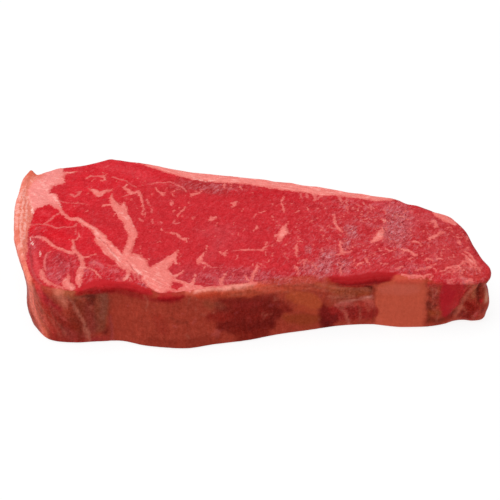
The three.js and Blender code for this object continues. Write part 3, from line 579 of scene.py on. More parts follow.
# Bands of another tone: colour, strength, softness of the edge, and the band. On the upper face
# its stations are x, y and half breadth; on the cut side x, way down from the rim and half breadth.
FACE_BANDS = [
    ("CE1420", 0.8, 2, [(-95.8, -7.7, 1.3), (-90.6, -10.4, 2.2), (-84.9, -11.7, 3.1), (-79, -14.1, 2.6),
        (-75, -16.3, 1.3)]),
    ("C21C26", 0.7, 2.5, [(-9, 28, 2.2), (2.3, 28.7, 3.1), (13.7, 27.8, 2.6), (20.7, 26.3, 1.8)]),
    ("C41A24", 0.9, 0.6, [(-89.3, 37.6, 0.5), (-86.2, 38.4, 0.6), (-82.5, 38.8, 0.6)]),
    ("D4605C", 0.7, 1.2, [(96.1, -2.2, 0.7), (97.9, -3.7, 1.8), (100.5, -4.2, 1.3)]),
    ("D0605C", 0.6, 1, [(95.8, -9.1, 0.9), (98.9, -8.8, 1.1), (101.9, -7.9, 0.9)]),
    ("D2605C", 0.7, 0.8, [(94.6, -10.7, 0.7), (94.5, -15.6, 0.8)]),
    ("C06468", 0.7, 0.6, [(95.2, -16.2, 0.5), (98.6, -15.4, 0.6)]),
    ("8E2430", 0.8, 0.6, [(72, -16.5, 0.4), (73, -19, 0.8)]),
    ("B6262A", 0.9, 1, [(103.1, -3.3, 0.7), (104.3, -8.6, 1), (103.9, -12.6, 0.9)]),
    ("8A1418", 0.7, 0.8, [(92.7, 20, 0.4), (95.1, 15.8, 0.4), (97.3, 9.1, 0.4), (101, 1.3, 0.3)]),
    ("AC5050", 0.7, 0.8, [(-92.8, -21, 0.2), (-86.9, -39.7, 0.4), (-83, -44.3, 0.4)]),
    ("D8484C", 0.8, 1, [(-90.6, -22.9, 0.7), (-85.3, -38.7, 0.9)]),
    ("CE4A52", 0.8, 1.4, [(-81.8, -34.6, 0.4), (-79.9, -39.6, 0.6), (-76.7, -42.3, 0.6)]),
    ("AC2830", 0.6, 1.4, [(-80, -26.5, 1.3), (-76.6, -30.3, 1.8), (-75.5, -35.5, 1.5)]),
    ("E87C7C", 0.6, 0.5, [(-84.5, -24.2, 0.2), (-84.2, -29.5, 0.3), (-83.1, -34.7, 0.3)]),
    ("D2666A", 0.7, 0.8, [(-64.5, -29.3, 0.7), (-62, -29, 0.9), (-58.9, -31.3, 0.9)]),
    ("D4363E", 0.7, 3, [(-71.8, 41.1, 1.8), (-64.2, 40.4, 2.2), (-54.2, 36.9, 2.6), (-46.2, 30.6, 2.2)]),
    ("D2363E", 0.7, 2, [(-92.8, 3.5, 1.3), (-89.7, 2.2, 1.3)]),
    ("D0383E", 0.7, 2, [(-54.4, -32, 1.8), (-49.1, -32.5, 2.2)]),
    ("C43A40", 0.7, 4, [(-18.3, -2.8, 2.6), (-9.8, -0.5, 3.1), (-12.3, -14.5, 3.1), (-15.9, -20.1, 2.2)]),
    ("C43A3E", 0.6, 3, [(51.9, -18.2, 1.8), (59.5, -16.1, 1.3)]),
    ("C4444A", 0.7, 4, [(60, 10.9, 2.2), (68.6, 13.6, 2.2), (77.1, 22.5, 2.6), (83.9, 20, 2.2)]),
    ("C03A40", 0.7, 3, [(89.7, 8.3, 2.2), (93.2, 6.5, 1.8)]),
    ("A83220", 0.8, 1.2, [(9.9, -31.5, 0.4), (15.3, -29.7, 0.8), (32.5, -25.6, 1.5), (37.7, -25, 1.1)]),
    ("C85446", 0.75, 0.7, [(6.1, -32.4, 0.2), (11.9, -30.6, 0.3), (29.3, -26.2, 0.4), (33.5, -25.5, 0.2)]),
    ("D8606A", 0.45, 2.6, [(54.8, 28.3, 0.7), (59.4, 27, 1.5), (64, 25.8, 1.6), (67.7, 23.4, 1.1)]),
    ("A82A20", 0.6, 1.4, [(11.9, -30.6, 0.4), (16, -29.1, 0.7), (20.2, -28.1, 0.6)]),
]

# Patches where the cut surface is granular and frosted: x, y, reach, reach, strength. Their paler mauve and
# pale strokes are partly the grain's own tone and partly painted sheen.
FROST_PATCHES = [
    (65.1, 14.5, 5.7, 14.7, 1), (62.2, 6.8, 2.4, 4.2, 1), (45.5, 5.6, 2.9, 4.5, 1),
    (43.4, -3.5, 2.2, 4.2, 0.9), (36.5, -16.8, 3.7, 8.8, 1), (43.9, -17.4, 3.7, 4.9, 0.9),
    (27.9, -8.3, 1.5, 2.8, 0.8), (31.9, -21, 6.6, 4.5, 0.8), (42.3, 23.9, 5.5, 4.2, 0.4),
    (61.3, 25.8, 4.4, 5.2, 0.5), (-40.3, -40.9, 2.6, 2.1, 0.8), (-76.1, -39.9, 1.1, 3.5, 0.6),
    (29, 0.7, 7.5, 7, 0.2), (56, -10, 8, 8, 0.35), (68, -6, 7, 6, 0.4), (8, -30, 20, 5, 0.45),
    (-12, -33, 10, 4, 0.35), (-77, -34, 6, 9, 0.4), (-64, -34, 5, 6, 0.35), (-54, -36, 6, 5, 0.4),
    (-20, 31, 14, 4, 0.4), (84, 4, 14, 16, 0.15), (97, -12, 8, 6, 0.3), (-92, -16, 3, 10, 0.4),
    (58, 2, 34, 28, 0.28), (72, -15, 9, 4, 0.5), (54, 18, 8, 12, 0.4),
]

# Lips of smooth red lean that roll over the cut edge: x, way down from the rim, half breadth.
LIPS = [
    [(-67.1, -0.5, 0.4), (-64.5, -1.8, 1), (-61.3, -1.8, 1.4), (-57.2, -1.2, 1.5), (-52.9, -0.3, 1.5),
     (-48.5, 0.1, 1.5), (-44, 0.5, 1.5), (-39.5, 0.4, 1.4), (-36, 0.2, 1)],
    [(-32.2, 1.1, 0.8), (-29.6, 1.1, 1.4), (-26.7, 1.4, 1.5), (-23.8, 1.5, 1.2), (-21.4, 1.1, 0.5)],
    [(38.3, -0.4, 0.6), (41.3, 0, 1.4), (45.6, 0, 1.9), (49.8, 0, 2.3), (58.2, 0.3, 2.5), (61.6, 0.1, 2.1),
     (64.5, -0.4, 1.4), (66.5, -1.5, 0.5)],
]

# The pale slab of the cut side, and the bands of tone beside it. A few dark bands are painted shadow: under
# and along the lips, in the slit beside the right lip and in the groove at the tip.
SLAB = (69.5, 15, 11.1, 16, "C4523C", 1, 0.1)
SIDE_BANDS = [
    ("A8242A", 1, 1.6, [(-84.3, 0.9, 1.4), (-82.4, 3.1, 1.9), (-80.4, 6.3, 2.2), (-77.8, 8.4, 1.9),
        (-75.3, 9.6, 1.2)]),
    ("C05850", 0.5, 1.2, [(-84.5, 0.3, 0.7), (-83.3, 1.6, 0.7), (-83.9, 5.9, 0.5)]),
    ("C06450", 0.9, 1.8, [(-76.6, -1.4, 1.2), (-74.8, 0.4, 2.4), (-73.1, 3.8, 1.9), (-72.7, 7.7, 1)]),
    ("9C5034", 0.8, 1.6, [(-71.6, -0.2, 1.4), (-68.3, 0.8, 1.7), (-67.4, 4.4, 1.2)]),
    # painted shadow under the left lip
    ("64201A", 0.9, 1.6, [(-65.4, 1.7, 1.2), (-62.6, 1.4, 1.7), (-60.4, 3.5, 1.4)]),
    ("5E100C", 0.8, 1.2, [(-57.3, 21.8, 0.8), (-55.6, 23.2, 1.1), (-54.7, 20.7, 0.6)]),
    ("94222A", 0.8, 1.4, [(-61.6, 25.3, 0.8), (-57.8, 25.9, 1.2), (-53.6, 26.6, 1)]),
    # painted shade along the lower edge of both lips
    ("961E1C", 0.9, 1.3, [(-65.6, 0.3, 0.8), (-57.4, 0.7, 1.5), (-47.4, 2.5, 1.5), (-36.7, 2.7, 1.2),
        (-32.2, 2.3, 1), (-27.1, 3, 1), (-23, 2.7, 0.8)]),
    ("9A3C3C", 0.6, 0.7, [(-53.4, 15.9, 0.5), (-52.7, 25.6, 0.6)]),
    ("94442E", 0.6, 1.4, [(-12, 5.6, 1.4), (-9.6, 8.3, 1.9)]),
    ("9C2E22", 0.6, 1.5, [(-32.4, 12.6, 2.4), (-30, 17.7, 2.9)]),
    ("8A2A1C", 0.6, 1.5, [(-36.2, 24.6, 1.4), (-23.2, 24.2, 1.4), (-14.9, 24.7, 1.9), (-6.6, 24.2, 1.4)]),
    ("801E16", 1, 1.4, [(-5.8, 6.1, 1.7), (1.6, 7.2, 2.2), (9, 8.2, 2.2), (14, 9.8, 2.2),
        (21.6, 16, 1.7)]),
    ("801E16", 1, 1.4, [(-5.9, 11.5, 2.9), (1.6, 14.1, 5.8), (9.9, 15.8, 6.2), (15.7, 16.1, 4.3)]),
    ("781C14", 1, 1.6, [(-5.8, 18.7, 2.9), (1.7, 20.8, 3.4), (9.2, 21.8, 3.4), (14.2, 22, 2.9)]),
    ("8A2A20", 0.7, 1.2, [(-8.3, 9, 1.4), (-5.9, 12, 1.4), (-2.6, 11.9, 1.2)]),
    ("7A2A1E", 0.6, 0.8, [(-27.3, 11.1, 0.3), (-23.1, 14, 0.5), (-20.2, 14.1, 0.4)]),
    ("86382A", 0.7, 1, [(-7.9, 6.9, 1.4), (-5.9, 9.4, 1.4)]),
    ("68160E", 0.6, 1.6, [(13.1, 10.2, 1.9), (16.5, 13.5, 2.9), (16.6, 17.8, 2.4)]),
    ("600F0A", 0.6, 1.6, [(1.7, 23.9, 1.9), (8, 24.1, 2.9), (14.2, 23.1, 1.9)]),
    ("8E2420", 0.5, 1.2, [(-0.1, 9.2, 1.4), (5.7, 10.2, 1.7), (10.7, 10.2, 1)]),
    ("AA442E", 0.9, 1, [(-3.4, 1.8, 1.4), (10.6, 2, 1.9), (16, 3.3, 1.4)]),
    ("BC3C26", 0.9, 1, [(-17.4, 0.7, 1.4), (-7.5, 1.4, 1.7), (-3.4, 1.5, 1)]),
    ("CE5C48", 0.9, 0.8, [(-20.1, 0, 0.7), (-9.4, 0.1, 1), (-2.8, 0.4, 1.2), (8.8, 0.7, 0.8)]),
    ("A84A30", 1, 0.9, [(39, 3.9, 1.4), (44.1, 6.7, 2.4), (50, 7.4, 2.2), (55.2, 9, 1.9)]),
    ("BC5C54", 0.9, 0.7, [(42.7, 14.1, 0.5), (46.5, 13.6, 0.8), (49.9, 12.9, 0.7), (57.5, 11.8, 0.8)]),
    ("9C221E", 1, 0.7, [(38.5, 18.1, 2.6), (43.7, 19.5, 3.8), (50, 18.3, 3.8), (55.6, 19.1, 4.3),
        (57, 21, 3.4)]),
    ("BA5A50", 0.8, 0.6, [(41, 15, 0.4), (44, 17.1, 0.6), (46.3, 20.2, 0.6), (47.5, 24.6, 0.6)]),
    # painted shadow under the right lip, and painted shade in the slit beside it
    ("701014", 1, 0.8, [(45.3, 1.2, 0.5), (49.6, 2.4, 1.2), (54.2, 6.2, 1.2), (56.4, 7, 0.8)]),
    ("6E2620", 0.9, 0.5, [(56.6, 5.4, 0.3), (56.5, 9, 0.4), (56.8, 12, 0.3)]),
    ("A23C2C", 0.8, 0.6, [(57.9, 7.4, 0.4), (58.9, 25.8, 0.4)]),
    ("C85A48", 0.8, 1.2, [(62, 7.4, 1.9), (67.1, 6.1, 2.9), (74.8, 5.7, 2.9)]),
    ("C2483A", 0.7, 0.9, [(66.9, 1.7, 1.2), (71.9, 1.3, 1.4), (77, 1.1, 1.2)]),
    ("AE3430", 0.9, 0.8, [(81, 3, 1.2), (84.8, 2.6, 1.2)]),
    ("74281E", 0.7, 1.4, [(81.6, 13.7, 1), (82.8, 17.9, 1.2), (83, 21.8, 1)]),
    ("7A2420", 0.7, 0.6, [(86.3, 6, 0.4), (86.8, 12.6, 0.5)]),
    ("B01C26", 1, 0.9, [(89.6, 3.9, 2.9), (93, 4, 3.8), (92.6, 9.4, 3.8), (90.8, 15.4, 2.9),
        (89.4, 19.1, 1.9)]),
    ("C8323A", 0.8, 0.8, [(88.5, 0.7, 0.8), (93.2, 0.4, 0.8), (97.5, 0.8, 0.9)]),
    ("96161C", 0.7, 1, [(88.4, 17.9, 1.4), (90.9, 16.7, 1.4)]),
    ("A0281E", 0.9, 0.8, [(98.5, 3.1, 1.4), (97.2, 8.8, 1.2), (95.4, 13.7, 1)]),
    ("A85038", 0.9, 0.8, [(101.4, 1.5, 1.2), (101.3, 5.5, 1.4), (100.7, 9.3, 1)]),
    ("943028", 0.7, 1, [(97.3, 20.8, 1), (100.8, 21.1, 1.2), (104.1, 19.6, 1.2)]),
    ("4E0C08", 0.8, 1.2, [(90.8, 21.2, 0.7), (93.8, 20.7, 1.2), (95.9, 19.6, 1)]),
    # painted shade in the groove near the tip
    ("5C120C", 0.9, 0.8, [(103, 1, 0.6), (103.4, 5.9, 1), (103.5, 9.3, 0.9), (104, 12.8, 0.5)]),
    ("86261A", 0.9, 0.8, [(105, 14.1, 0.7), (105.3, 18.5, 0.9)]),
    ("C01820", 0.8, 0.4, [(104.4, 11.9, 0.5), (104.7, 13, 0.4)]),
    ("7A1814", 1, 1.3, [(35.5, 14.6, 1.4), (36.8, 18, 2.4), (37.8, 22.1, 3.4), (40.4, 22.9, 2.9),
        (42.9, 22.4, 1.9)]),
    ("600E0C", 0.8, 1.2, [(34.8, 21.3, 1.2), (36.5, 23.8, 1.7), (38.7, 25.1, 1.4)]),
    ("962420", 0.9, 1.4, [(42.7, 15.9, 1.4), (45.4, 18.9, 1.9), (48.7, 16.9, 2.4), (55.5, 16.1, 2.4),
        (57.3, 18, 1.7)]),
    ("96241E", 0.9, 1.2, [(45.5, 22, 2.4), (54, 21.9, 2.9), (57, 22.1, 1.7)]),
    ("AE1C24", 1, 1, [(88.2, 1.7, 1.7), (88.5, 9.3, 2.3), (88.7, 16, 2.2), (89.5, 21, 1.4)]),
    ("E06A5A", 1, 1.2, [(-88.1, 3.1, 1.4), (-88.8, 11.4, 1.7), (-85.7, 22.5, 1.5), (-83.3, 25.6, 1.2)]),
    ("E47A68", 0.5, 0.8, [(-89.2, 4.7, 0.5), (-89.5, 12, 0.6), (-88, 17.8, 0.6), (-86.1, 21.7, 0.5)]),
    ("D2563C", 0.8, 1.2, [(-86.3, 17.7, 0.8), (-84, 22.2, 0.9), (-81.7, 25.1, 0.9)]),
    ("C23A30", 0.8, 1.4, [(-82, 16.4, 1), (-80.4, 20.5, 1.2), (-77.9, 24, 1)]),
    ("9C2A24", 0.9, 2, [(-78, 11.6, 2.4), (-74.7, 16.2, 3.4), (-70.7, 21.1, 3.4), (-64.9, 24.2, 2.4)]),
    ("B84A40", 0.8, 0.8, [(-79.5, 7.1, 0.4), (-77.1, 11.4, 0.5), (-73.8, 14.4, 0.5), (-70.1, 16.7, 0.4)]),
    ("94241E", 0.8, 1.6, [(-78.8, 24.8, 1.4), (-75.3, 25.6, 1.4), (-70.9, 25.5, 1.4), (-65, 25.8, 1.2)]),
    ("7A2A1E", 0.8, 1.6, [(-69.6, 15.6, 1.9), (-66.4, 19.8, 1.9), (-65.8, 24.1, 1.4)]),
    ("88341F", 0.8, 1.4, [(-68.1, 3.5, 1.4), (-66.1, 8.1, 1.9), (-64.5, 11.1, 1.4)]),
    ("A85444", 0.6, 0.7, [(-67.2, 0.5, 0.3), (-64.9, 4.2, 0.4), (-63.7, 8.6, 0.3)]),
    # painted shadow under the left lip
    ("5E1E14", 0.8, 1.2, [(-62.4, 3.5, 1.2), (-61.3, 8.3, 1.2), (-59.9, 2.8, 1)]),
    ("8C3E2C", 1, 1, [(-56.8, 2.4, 2.2), (-57.3, 9.9, 3.1), (-57.5, 15.2, 3.1), (-58.1, 20.2, 2.4)]),
    ("84483A", 0.5, 0.8, [(-56.1, 1.6, 1.2), (-56.3, 9.1, 1.7), (-56.7, 15.3, 1.4)]),
    ("C46450", 0.7, 0.8, [(-76.1, -0.9, 1), (-73.8, 0.8, 1.4), (-72.9, 5.2, 1.2)]),
    ("A8503A", 0.5, 1.2, [(-70, -0.4, 1.4), (-66.4, 0.3, 1.7), (-62.3, 0.8, 1.4)]),
    ("88241A", 1, 1.2, [(-5.8, 4.4, 1), (-0.5, 4.8, 1.4), (10.6, 6.7, 1.4), (14.8, 7.4, 1.4),
        (17.3, 11, 1.7), (19.8, 14.1, 1.7)]),
    ("801F14", 0.9, 1.6, [(-0.8, 22.5, 1.9), (4.3, 25.4, 1.9), (9.2, 25.5, 1.9), (12.5, 24.3, 1.7)]),
    ("A84A3C", 0.5, 0.5, [(10.8, 19.6, 0.2), (12.8, 17, 0.3), (14.9, 16.9, 0.3)]),
    ("A84A3C", 0.5, 0.5, [(16.4, 8, 0.4), (17.7, 10, 0.4)]),
    ("B44A2C", 1, 1, [(23.1, 7.9, 2.4), (26.5, 9.5, 3.8), (29.9, 10.9, 3.8), (32.5, 13.9, 2.9)]),
    ("983A20", 1, 1.4, [(20.8, 19.6, 1.4), (24.2, 21.2, 2.4), (28.5, 22.3, 2.9), (32.7, 22.3, 2.4)]),
    ("B0422A", 0.9, 1, [(25.8, 15.5, 1.4), (32.6, 18.3, 1.2)]),
    ("CC4C38", 0.9, 0.9, [(8.1, 1.3, 1), (11.4, 2.1, 1.4), (15.6, 3.2, 1.4), (19.7, 3.9, 1.2)]),
    ("D0543E", 0.9, 0.8, [(10.3, 0.1, 0.8), (21.1, 0.2, 1), (32.1, 0.8, 0.8)]),
    ("D45442", 0.7, 0.6, [(13.8, 1, 0.4), (19.6, 1.2, 0.4), (31.4, 2.9, 0.3)]),
    ("C64E38", 0.8, 0.8, [(19.7, 2.9, 0.5), (31.4, 4.6, 0.6), (36.5, 5.9, 0.5)]),
    ("BC4C30", 0.8, 1.2, [(18.9, 4.8, 0.8), (23.1, 4.6, 0.8)]),
    ("BC4E34", 0.9, 0.8, [(33.9, 1.9, 1), (37.3, 2.7, 1.4), (40.7, 4.6, 1.2)]),
    ("AC4A2C", 0.8, 0.8, [(39.1, 6.6, 0.8), (45, 8.3, 1), (51.8, 9.1, 1), (55.7, 9.9, 0.8)]),
    ("BC5C46", 0.7, 0.6, [(39, 3.2, 0.4), (44.9, 6.4, 0.5), (55.6, 9, 0.3)]),
    ("AE5642", 0.7, 0.8, [(39.2, 10, 0.8), (44.2, 10.1, 1), (50.2, 9.9, 0.8)]),
    ("D08074", 0.8, 0.5, [(43.5, 13.5, 0.3), (52.8, 11.9, 0.4), (57, 11.5, 0.4)]),
    ("BC5248", 0.8, 0.8, [(41.8, 14.7, 1), (46.1, 14.2, 1), (49.5, 15.2, 0.8)]),
    ("C45448", 0.8, 0.8, [(54.5, 13, 1), (56.7, 14.4, 1.2), (57.7, 17.4, 1)]),
    ("B43A2E", 0.8, 1, [(50.4, 14.7, 1), (53.8, 15.9, 1.2), (56.5, 19.1, 1)]),
    ("BC5044", 0.8, 0.7, [(43.6, 15.9, 0.4), (45.4, 18.9, 0.6), (46.8, 22.7, 0.6), (47.7, 26.8, 0.4)]),
    ("A0342A", 0.9, 1, [(83.1, 2.8, 1.2), (84.6, 12.3, 1.4)]),
    ("C0342E", 0.9, 0.8, [(81.3, 1.4, 0.8), (84.7, 1.1, 0.9), (86.5, 1.9, 0.7)]),
    ("B0544A", 0.6, 0.6, [(82, 5.2, 0.3), (84.6, 6.2, 0.4), (83.2, 10.6, 0.3)]),
    ("74221A", 0.8, 0.7, [(81.8, 8.8, 0.5), (83.6, 10.5, 0.6), (85.7, 9.7, 0.5)]),
    ("68180F", 0.8, 0.7, [(82.5, 13.7, 0.5), (83.9, 14.8, 0.6), (85.6, 14, 0.5)]),
    ("9C3C20", 0.9, 1.2, [(83.3, 19.6, 1.7), (85.9, 19.4, 1.4)]),
    ("68200F", 0.8, 1.4, [(82.7, 23.9, 1.2), (86.2, 23.9, 1.2), (88.7, 22.8, 1)]),
    ("B42224", 0.9, 1.2, [(91.7, 3.3, 1.9), (95.2, 4.9, 2.4), (94.3, 10.4, 2.2), (92.1, 15.6, 1.7)]),
    ("8A2018", 0.9, 1.2, [(90.4, 22.4, 1.1), (94.6, 20.2, 1.4), (97.1, 18.8, 1.2)]),
    ("B44C3A", 0.8, 0.7, [(101.8, 1.6, 0.5), (100, 5.9, 0.7), (97.4, 11.2, 0.7), (93.5, 22.7, 0.5)]),
    ("9A2820", 1, 1, [(99.4, 14.5, 1.9), (101.4, 17.9, 2.4), (100.9, 22.1, 1.9), (97.4, 22.8, 1.4)]),
    ("8E1A12", 0.8, 1, [(101, 12.6, 1.2), (103, 16, 1.2)]),
    ("C0524A", 0.7, 0.7, [(101.6, 20.7, 0.8), (103.1, 17.3, 0.7)]),
    ("D08870", 0.9, 0.7, [(105.6, 6.8, 0.6), (106.5, 9.8, 0.7), (106.8, 13.4, 0.6)]),
    ("8C2A1E", 0.9, 0.7, [(103.9, 6.2, 0.5), (104.2, 10, 0.6)]),
    ("E67A66", 1, 1.2, [(-94.5, 0.5, 1.9), (-89.4, 0.6, 1.7), (-88.1, 3.1, 1.4)]),
    ("84180F", 1, 1, [(97.6, 13.6, 1.7), (100, 16.8, 2.2), (99.1, 21.8, 1.7)]),
    ("8E231A", 1, 1.4, [(-10, 13.9, 2.2), (-7.5, 14.3, 2.6), (-4.2, 14.8, 2.4)]),
    ("9E201C", 0.9, 0.9, [(43.2, 1.6, 1.2), (47.5, 3.6, 1.4), (51.6, 5.7, 1.4), (55.9, 3.6, 1.4),
        (59.3, 2.8, 1)]),
    ("802A1C", 0.7, 2, [(-68.4, 5.9, 1.9), (-67.4, 11.6, 2.9), (-67.2, 18.7, 3.4)]),
    ("84302A", 0.7, 2, [(-62.9, 9.7, 1.9), (-61.7, 15.4, 2.4), (-61.5, 21.6, 1.9)]),
    ("B0604E", 0.8, 0.7, [(-70.4, 1.2, 0.4), (-68.5, 7.2, 0.5), (-66.6, 11.6, 0.5), (-63.1, 21.3, 0.6),
        (-62, 25.7, 0.4)]),
    # painted shade at the foot of the left lip
    ("961A18", 0.95, 1.2, [(-66.7, -0.2, 0.7), (-63.3, 0, 1.2), (-55.8, 0.7, 1.3), (-52.5, 1.4, 1.2)]),
    ("B8462E", 0.9, 0.9, [(-5.8, 3, 0.8), (0, 3.5, 1), (5.7, 4.4, 1), (9.8, 4.7, 0.7)]),
    # painted shade at the foot of the left lip
    ("9A1C1A", 0.9, 1.1, [(-67.4, 0, 0.5), (-64.9, 0, 1), (-56.6, 0.7, 0.9), (-54.1, 1.2, 0.6)]),
    ("9A3832", 0.6, 1.6, [(-76.8, 20.9, 2.4), (-72.5, 21.8, 2.9), (-70, 23.7, 2.4)]),
    ("B84A34", 0.7, 1.4, [(-13, 0.5, 0.9), (-0.9, 1.9, 0.6)]),
    ("F0988A", 0.85, 0.7, [(-16.9, -0.4, 0.7), (-12.9, -0.6, 0.5), (-8.6, 0, 0.5), (4.6, 0.1, 0.4),
        (7.9, 0.2, 0.2)]),
    # painted shade at the foot of the left lip
    ("8E1A18", 0.85, 1, [(-66.5, 0.1, 0.5), (-64, 0.2, 0.8), (-57.4, 0.8, 0.6)]),
    ("8A2E26", 0.6, 1.6, [(-75.8, 19.6, 1.9), (-73.3, 20.8, 2.4), (-70.8, 23.3, 1.9)]),
    ("8E3A2C", 0.45, 1.5, [(40.9, 11.1, 1.2), (45.6, 11.8, 1.2), (50.3, 13.5, 1)]),
    # painted shadow line under the left lip
    ("7E1414", 0.7, 1, [(-64, 0.3, 0.4), (-55.8, 1.2, 0.8), (-52.5, 1.9, 0.6)]),
    ("D02E30", 0.6, 1.5, [(-86.6, 0, 0.6), (-84.6, 0.7, 1.2), (-83.1, 3, 1.2), (-82.5, 6.8, 1.2),
        (-81.6, 10.2, 0.9)]),
    ("B02C22", 0.55, 1.8, [(-82.5, 9, 1), (-79.6, 15.2, 1.6), (-76.4, 21.9, 1.9)]),
    ("86200F", 0.5, 1.6, [(-75.9, 14.2, 0.8), (-74.8, 17.8, 1.4), (-71.3, 16.3, 1.7), (-68.5, 18.7, 1.9)]),
    ("E05C50", 0.5, 1.1, [(-86.5, 4.2, 0.4), (-85.6, 13.4, 0.6), (-82.3, 20.4, 0.5)]),
]

# How far the tone of the upper face reaches down over the cut edge: x, and how far.
TURN_DIPS = [(4, 0), (18, 2.2), (32, 2.6), (38, 0), (78, 0), (84, 1.8), (104, 2.4)]

# Fat and sinew on the cut side: x, way down from the rim, half breadth.
SIDE_SEAMS = [
    [(-69, 8, 0.4), (-65.2, 16, 0.6), (-64.6, 20, 0.6), (-63.4, 25, 0.5)],
    [(-63.6, 3.4, 0.5), (-62.6, 5, 0.3)], [(-61.6, 9.4, 0.3), (-61.8, 11, 0.5)],
    [(-86, 1, 0.5), (-86.6, 8, 0.6), (-85.8, 14, 0.6), (-81.4, 26, 0.4)],
    [(-84.6, 5, 0.3), (-84.4, 11, 0.4), (-82.6, 17, 0.4), (-80.6, 23, 0.3)],
    [(-83, 12, 0.3), (-80.4, 20, 0.3)],
    [(-81.4, 14, 0.3), (-79.4, 16, 0.4), (-77, 20, 0.3), (-75.6, 24, 0.3)],
    [(-79, 12, 0.4), (-77, 16.6, 0.3), (-74.6, 19.6, 0.4), (-73, 24, 0.3)],
    [(-19.4, 5, 0.2), (-18.6, 2, 0.3), (-17.4, 1.2, 0.3)], [(-17, 1.4, 0.2), (-15.8, 3.4, 0.3)],
    [(-20.4, 20, 0.3), (-19.4, 22.4, 0.5)], [(-16.6, 7.4, 0.2), (-16, 8.8, 0.3)],
    [(-14, 11.4, 0.3), (-12.6, 12, 0.4)], [(-10, 11, 0.2), (-8.4, 12, 0.3)],
    [(-38.4, 1.6, 0.3), (-37, 5, 0.4), (-37.8, 10, 0.2)], [(10, 1.6, 0.3), (24, 1.2, 0.3)],
    [(8, 2.8, 0.3), (14, 3.2, 0.3), (22, 5.4, 0.3)], [(-4, 1, 0.3), (3, 1, 0.4), (9, 1.6, 0.3)],
    [(-2, 3.2, 0.3), (4, 3, 0.4)], [(24, 2.6, 0.3), (30, 2, 0.3), (35.5, 4.2, 0.5)],
    [(28, 5, 0.3), (33, 3.4, 0.4), (37, 5, 0.3)],
    [(34, 1.4, 0.3), (46, 5.4, 0.4), (52, 7.8, 0.5), (57, 9.4, 0.5)],
    [(36, 5.6, 0.3), (42, 7.6, 0.4), (48, 9, 0.4)], [(38, 9.6, 0.3), (44, 10.6, 0.3), (50, 10.4, 0.3)],
    [(40, 12.4, 0.3), (44, 12.8, 0.6), (48, 12, 0.7), (52, 12.6, 0.6), (57.6, 12.6, 0.5)],
    [(41, 15, 0.3), (44, 18, 0.4)], [(45, 19, 0.3), (46.6, 21, 0.4), (47.6, 25.4, 0.4)],
    [(51, 15, 0.2), (52.4, 19, 0.3), (52.2, 25, 0.3)], [(54.6, 15, 0.2), (56, 20, 0.3)],
    [(44, 16, 0.3), (48, 16.6, 0.3)], [(15.6, 7.4, 0.2), (16.4, 9.4, 0.4)],
    [(11, 16, 0.3), (12.6, 17.4, 0.3)], [(82.4, 5, 0.3), (83, 9, 0.4), (84, 12.6, 0.3)],
    [(84, 4, 0.2), (84.8, 8, 0.3)], [(83.2, 14, 0.2), (85.8, 20, 0.3), (86, 24, 0.2)],
    [(101, 2, 0.4), (98.6, 7, 0.6), (93.4, 21, 0.5)], [(97, 5, 0.2), (99, 2, 0.3)],
    [(96.6, 16, 0.2), (98, 19, 0.3)], [(100.4, 21, 0.3), (102, 23, 0.3)],
]

# Creases of the cut side: x, way down from the rim, half breadth.
SIDE_CREASES = [
    [(58.2, 1, 0.4), (57.8, 12, 0.7), (58.6, 26, 0.6)], [(81.4, 4, 0.3), (81.8, 14, 0.8), (83.4, 25, 0.6)],
    [(98.6, 4, 0.2), (95, 14, 0.5), (92.4, 22, 0.6)],
    [(-53.6, 8, 0.3), (-53.2, 16, 0.5), (-53.2, 25, 0.4)],
    [(-77.6, 10, 0.3), (-75, 15, 0.5), (-73, 24, 0.4)], [(42, 1.8, 0.4), (50, 3.4, 0.9), (57, 7.4, 0.8)],
    [(103, 1, 0.6), (103.2, 8, 1.1), (103, 16, 0.5)],
]

# Where the cut side is rough to the eye: x, way down from the rim, reach along X, reach down, strength.
GRIT_PATCHES = [
    (-86, 14, 12, 16, 0.9), (-66, 12, 12, 14, 0.8), (48, 20, 10, 7, 0.9), (46, 8, 12, 4, 0.8),
    (83.6, 10, 3, 12, 1), (100, 12, 5.6, 14, 0.9), (5, 15, 20, 13, 0.6), (-30, 14, 22, 14, 0.45),
    (10, 2, 26, 3, 0.6),
]

# Small painted highlights of moisture on the upper face: x, y, half breadth.
PAINTED_GLINTS = [
    [(-98, 6, 0.3), (-97.2, 3.6, 0.3)], [(-94.3, -14.6, 0.3), (-93.7, -15.9, 0.3)],
    [(-92.7, -17.6, 0.4), (-92.2, -18.9, 0.4)], [(-87.6, -23.4, 0.3), (-86.8, -26.7, 0.3)],
]


def within(across, up, spread):
    """A soft-edged rounded rectangle: 1 inside, 0 outside, with r the fourth-power mean of both
    distances, falling as a smoothstep over the spread."""
    r = (across**4 + up**4) ** 0.25
    return 1 - smoothstep(r, 1 - spread, 1 + spread)


def toned(base, tones, across, up):
    """The base colour with each patch of tone laid over it in turn."""
    colour = np.tile(paint(base), (len(across), 1))
    for cx, cy, reach_x, reach_y, code, strength, spread in tones:
        weight = strength * within((across - cx) / reach_x, (up - cy) / reach_y, spread)
        colour = laid(colour, code, weight)
    return colour


def brushed(colour, bands, at):
    """The colour with each band of tone laid over it in turn, at even strength inside and fading
    as a smoothstep of the depth over its softness to both sides of its edge."""
    for code, strength, softness, band in bands:
        weight = strength * smoothstep(band_depth([band], at), -softness, softness)
        colour = laid(colour, code, weight)
    return colour


def strongest(patches, across, up, spread):
    """At each place, the strength of the strongest patch that covers it."""
    best = 0 * across
    for cx, cy, reach_x, reach_y, strength in patches:
        best = np.maximum(best, strength * within((across - cx) / reach_x, (up - cy) / reach_y, spread))
    return best


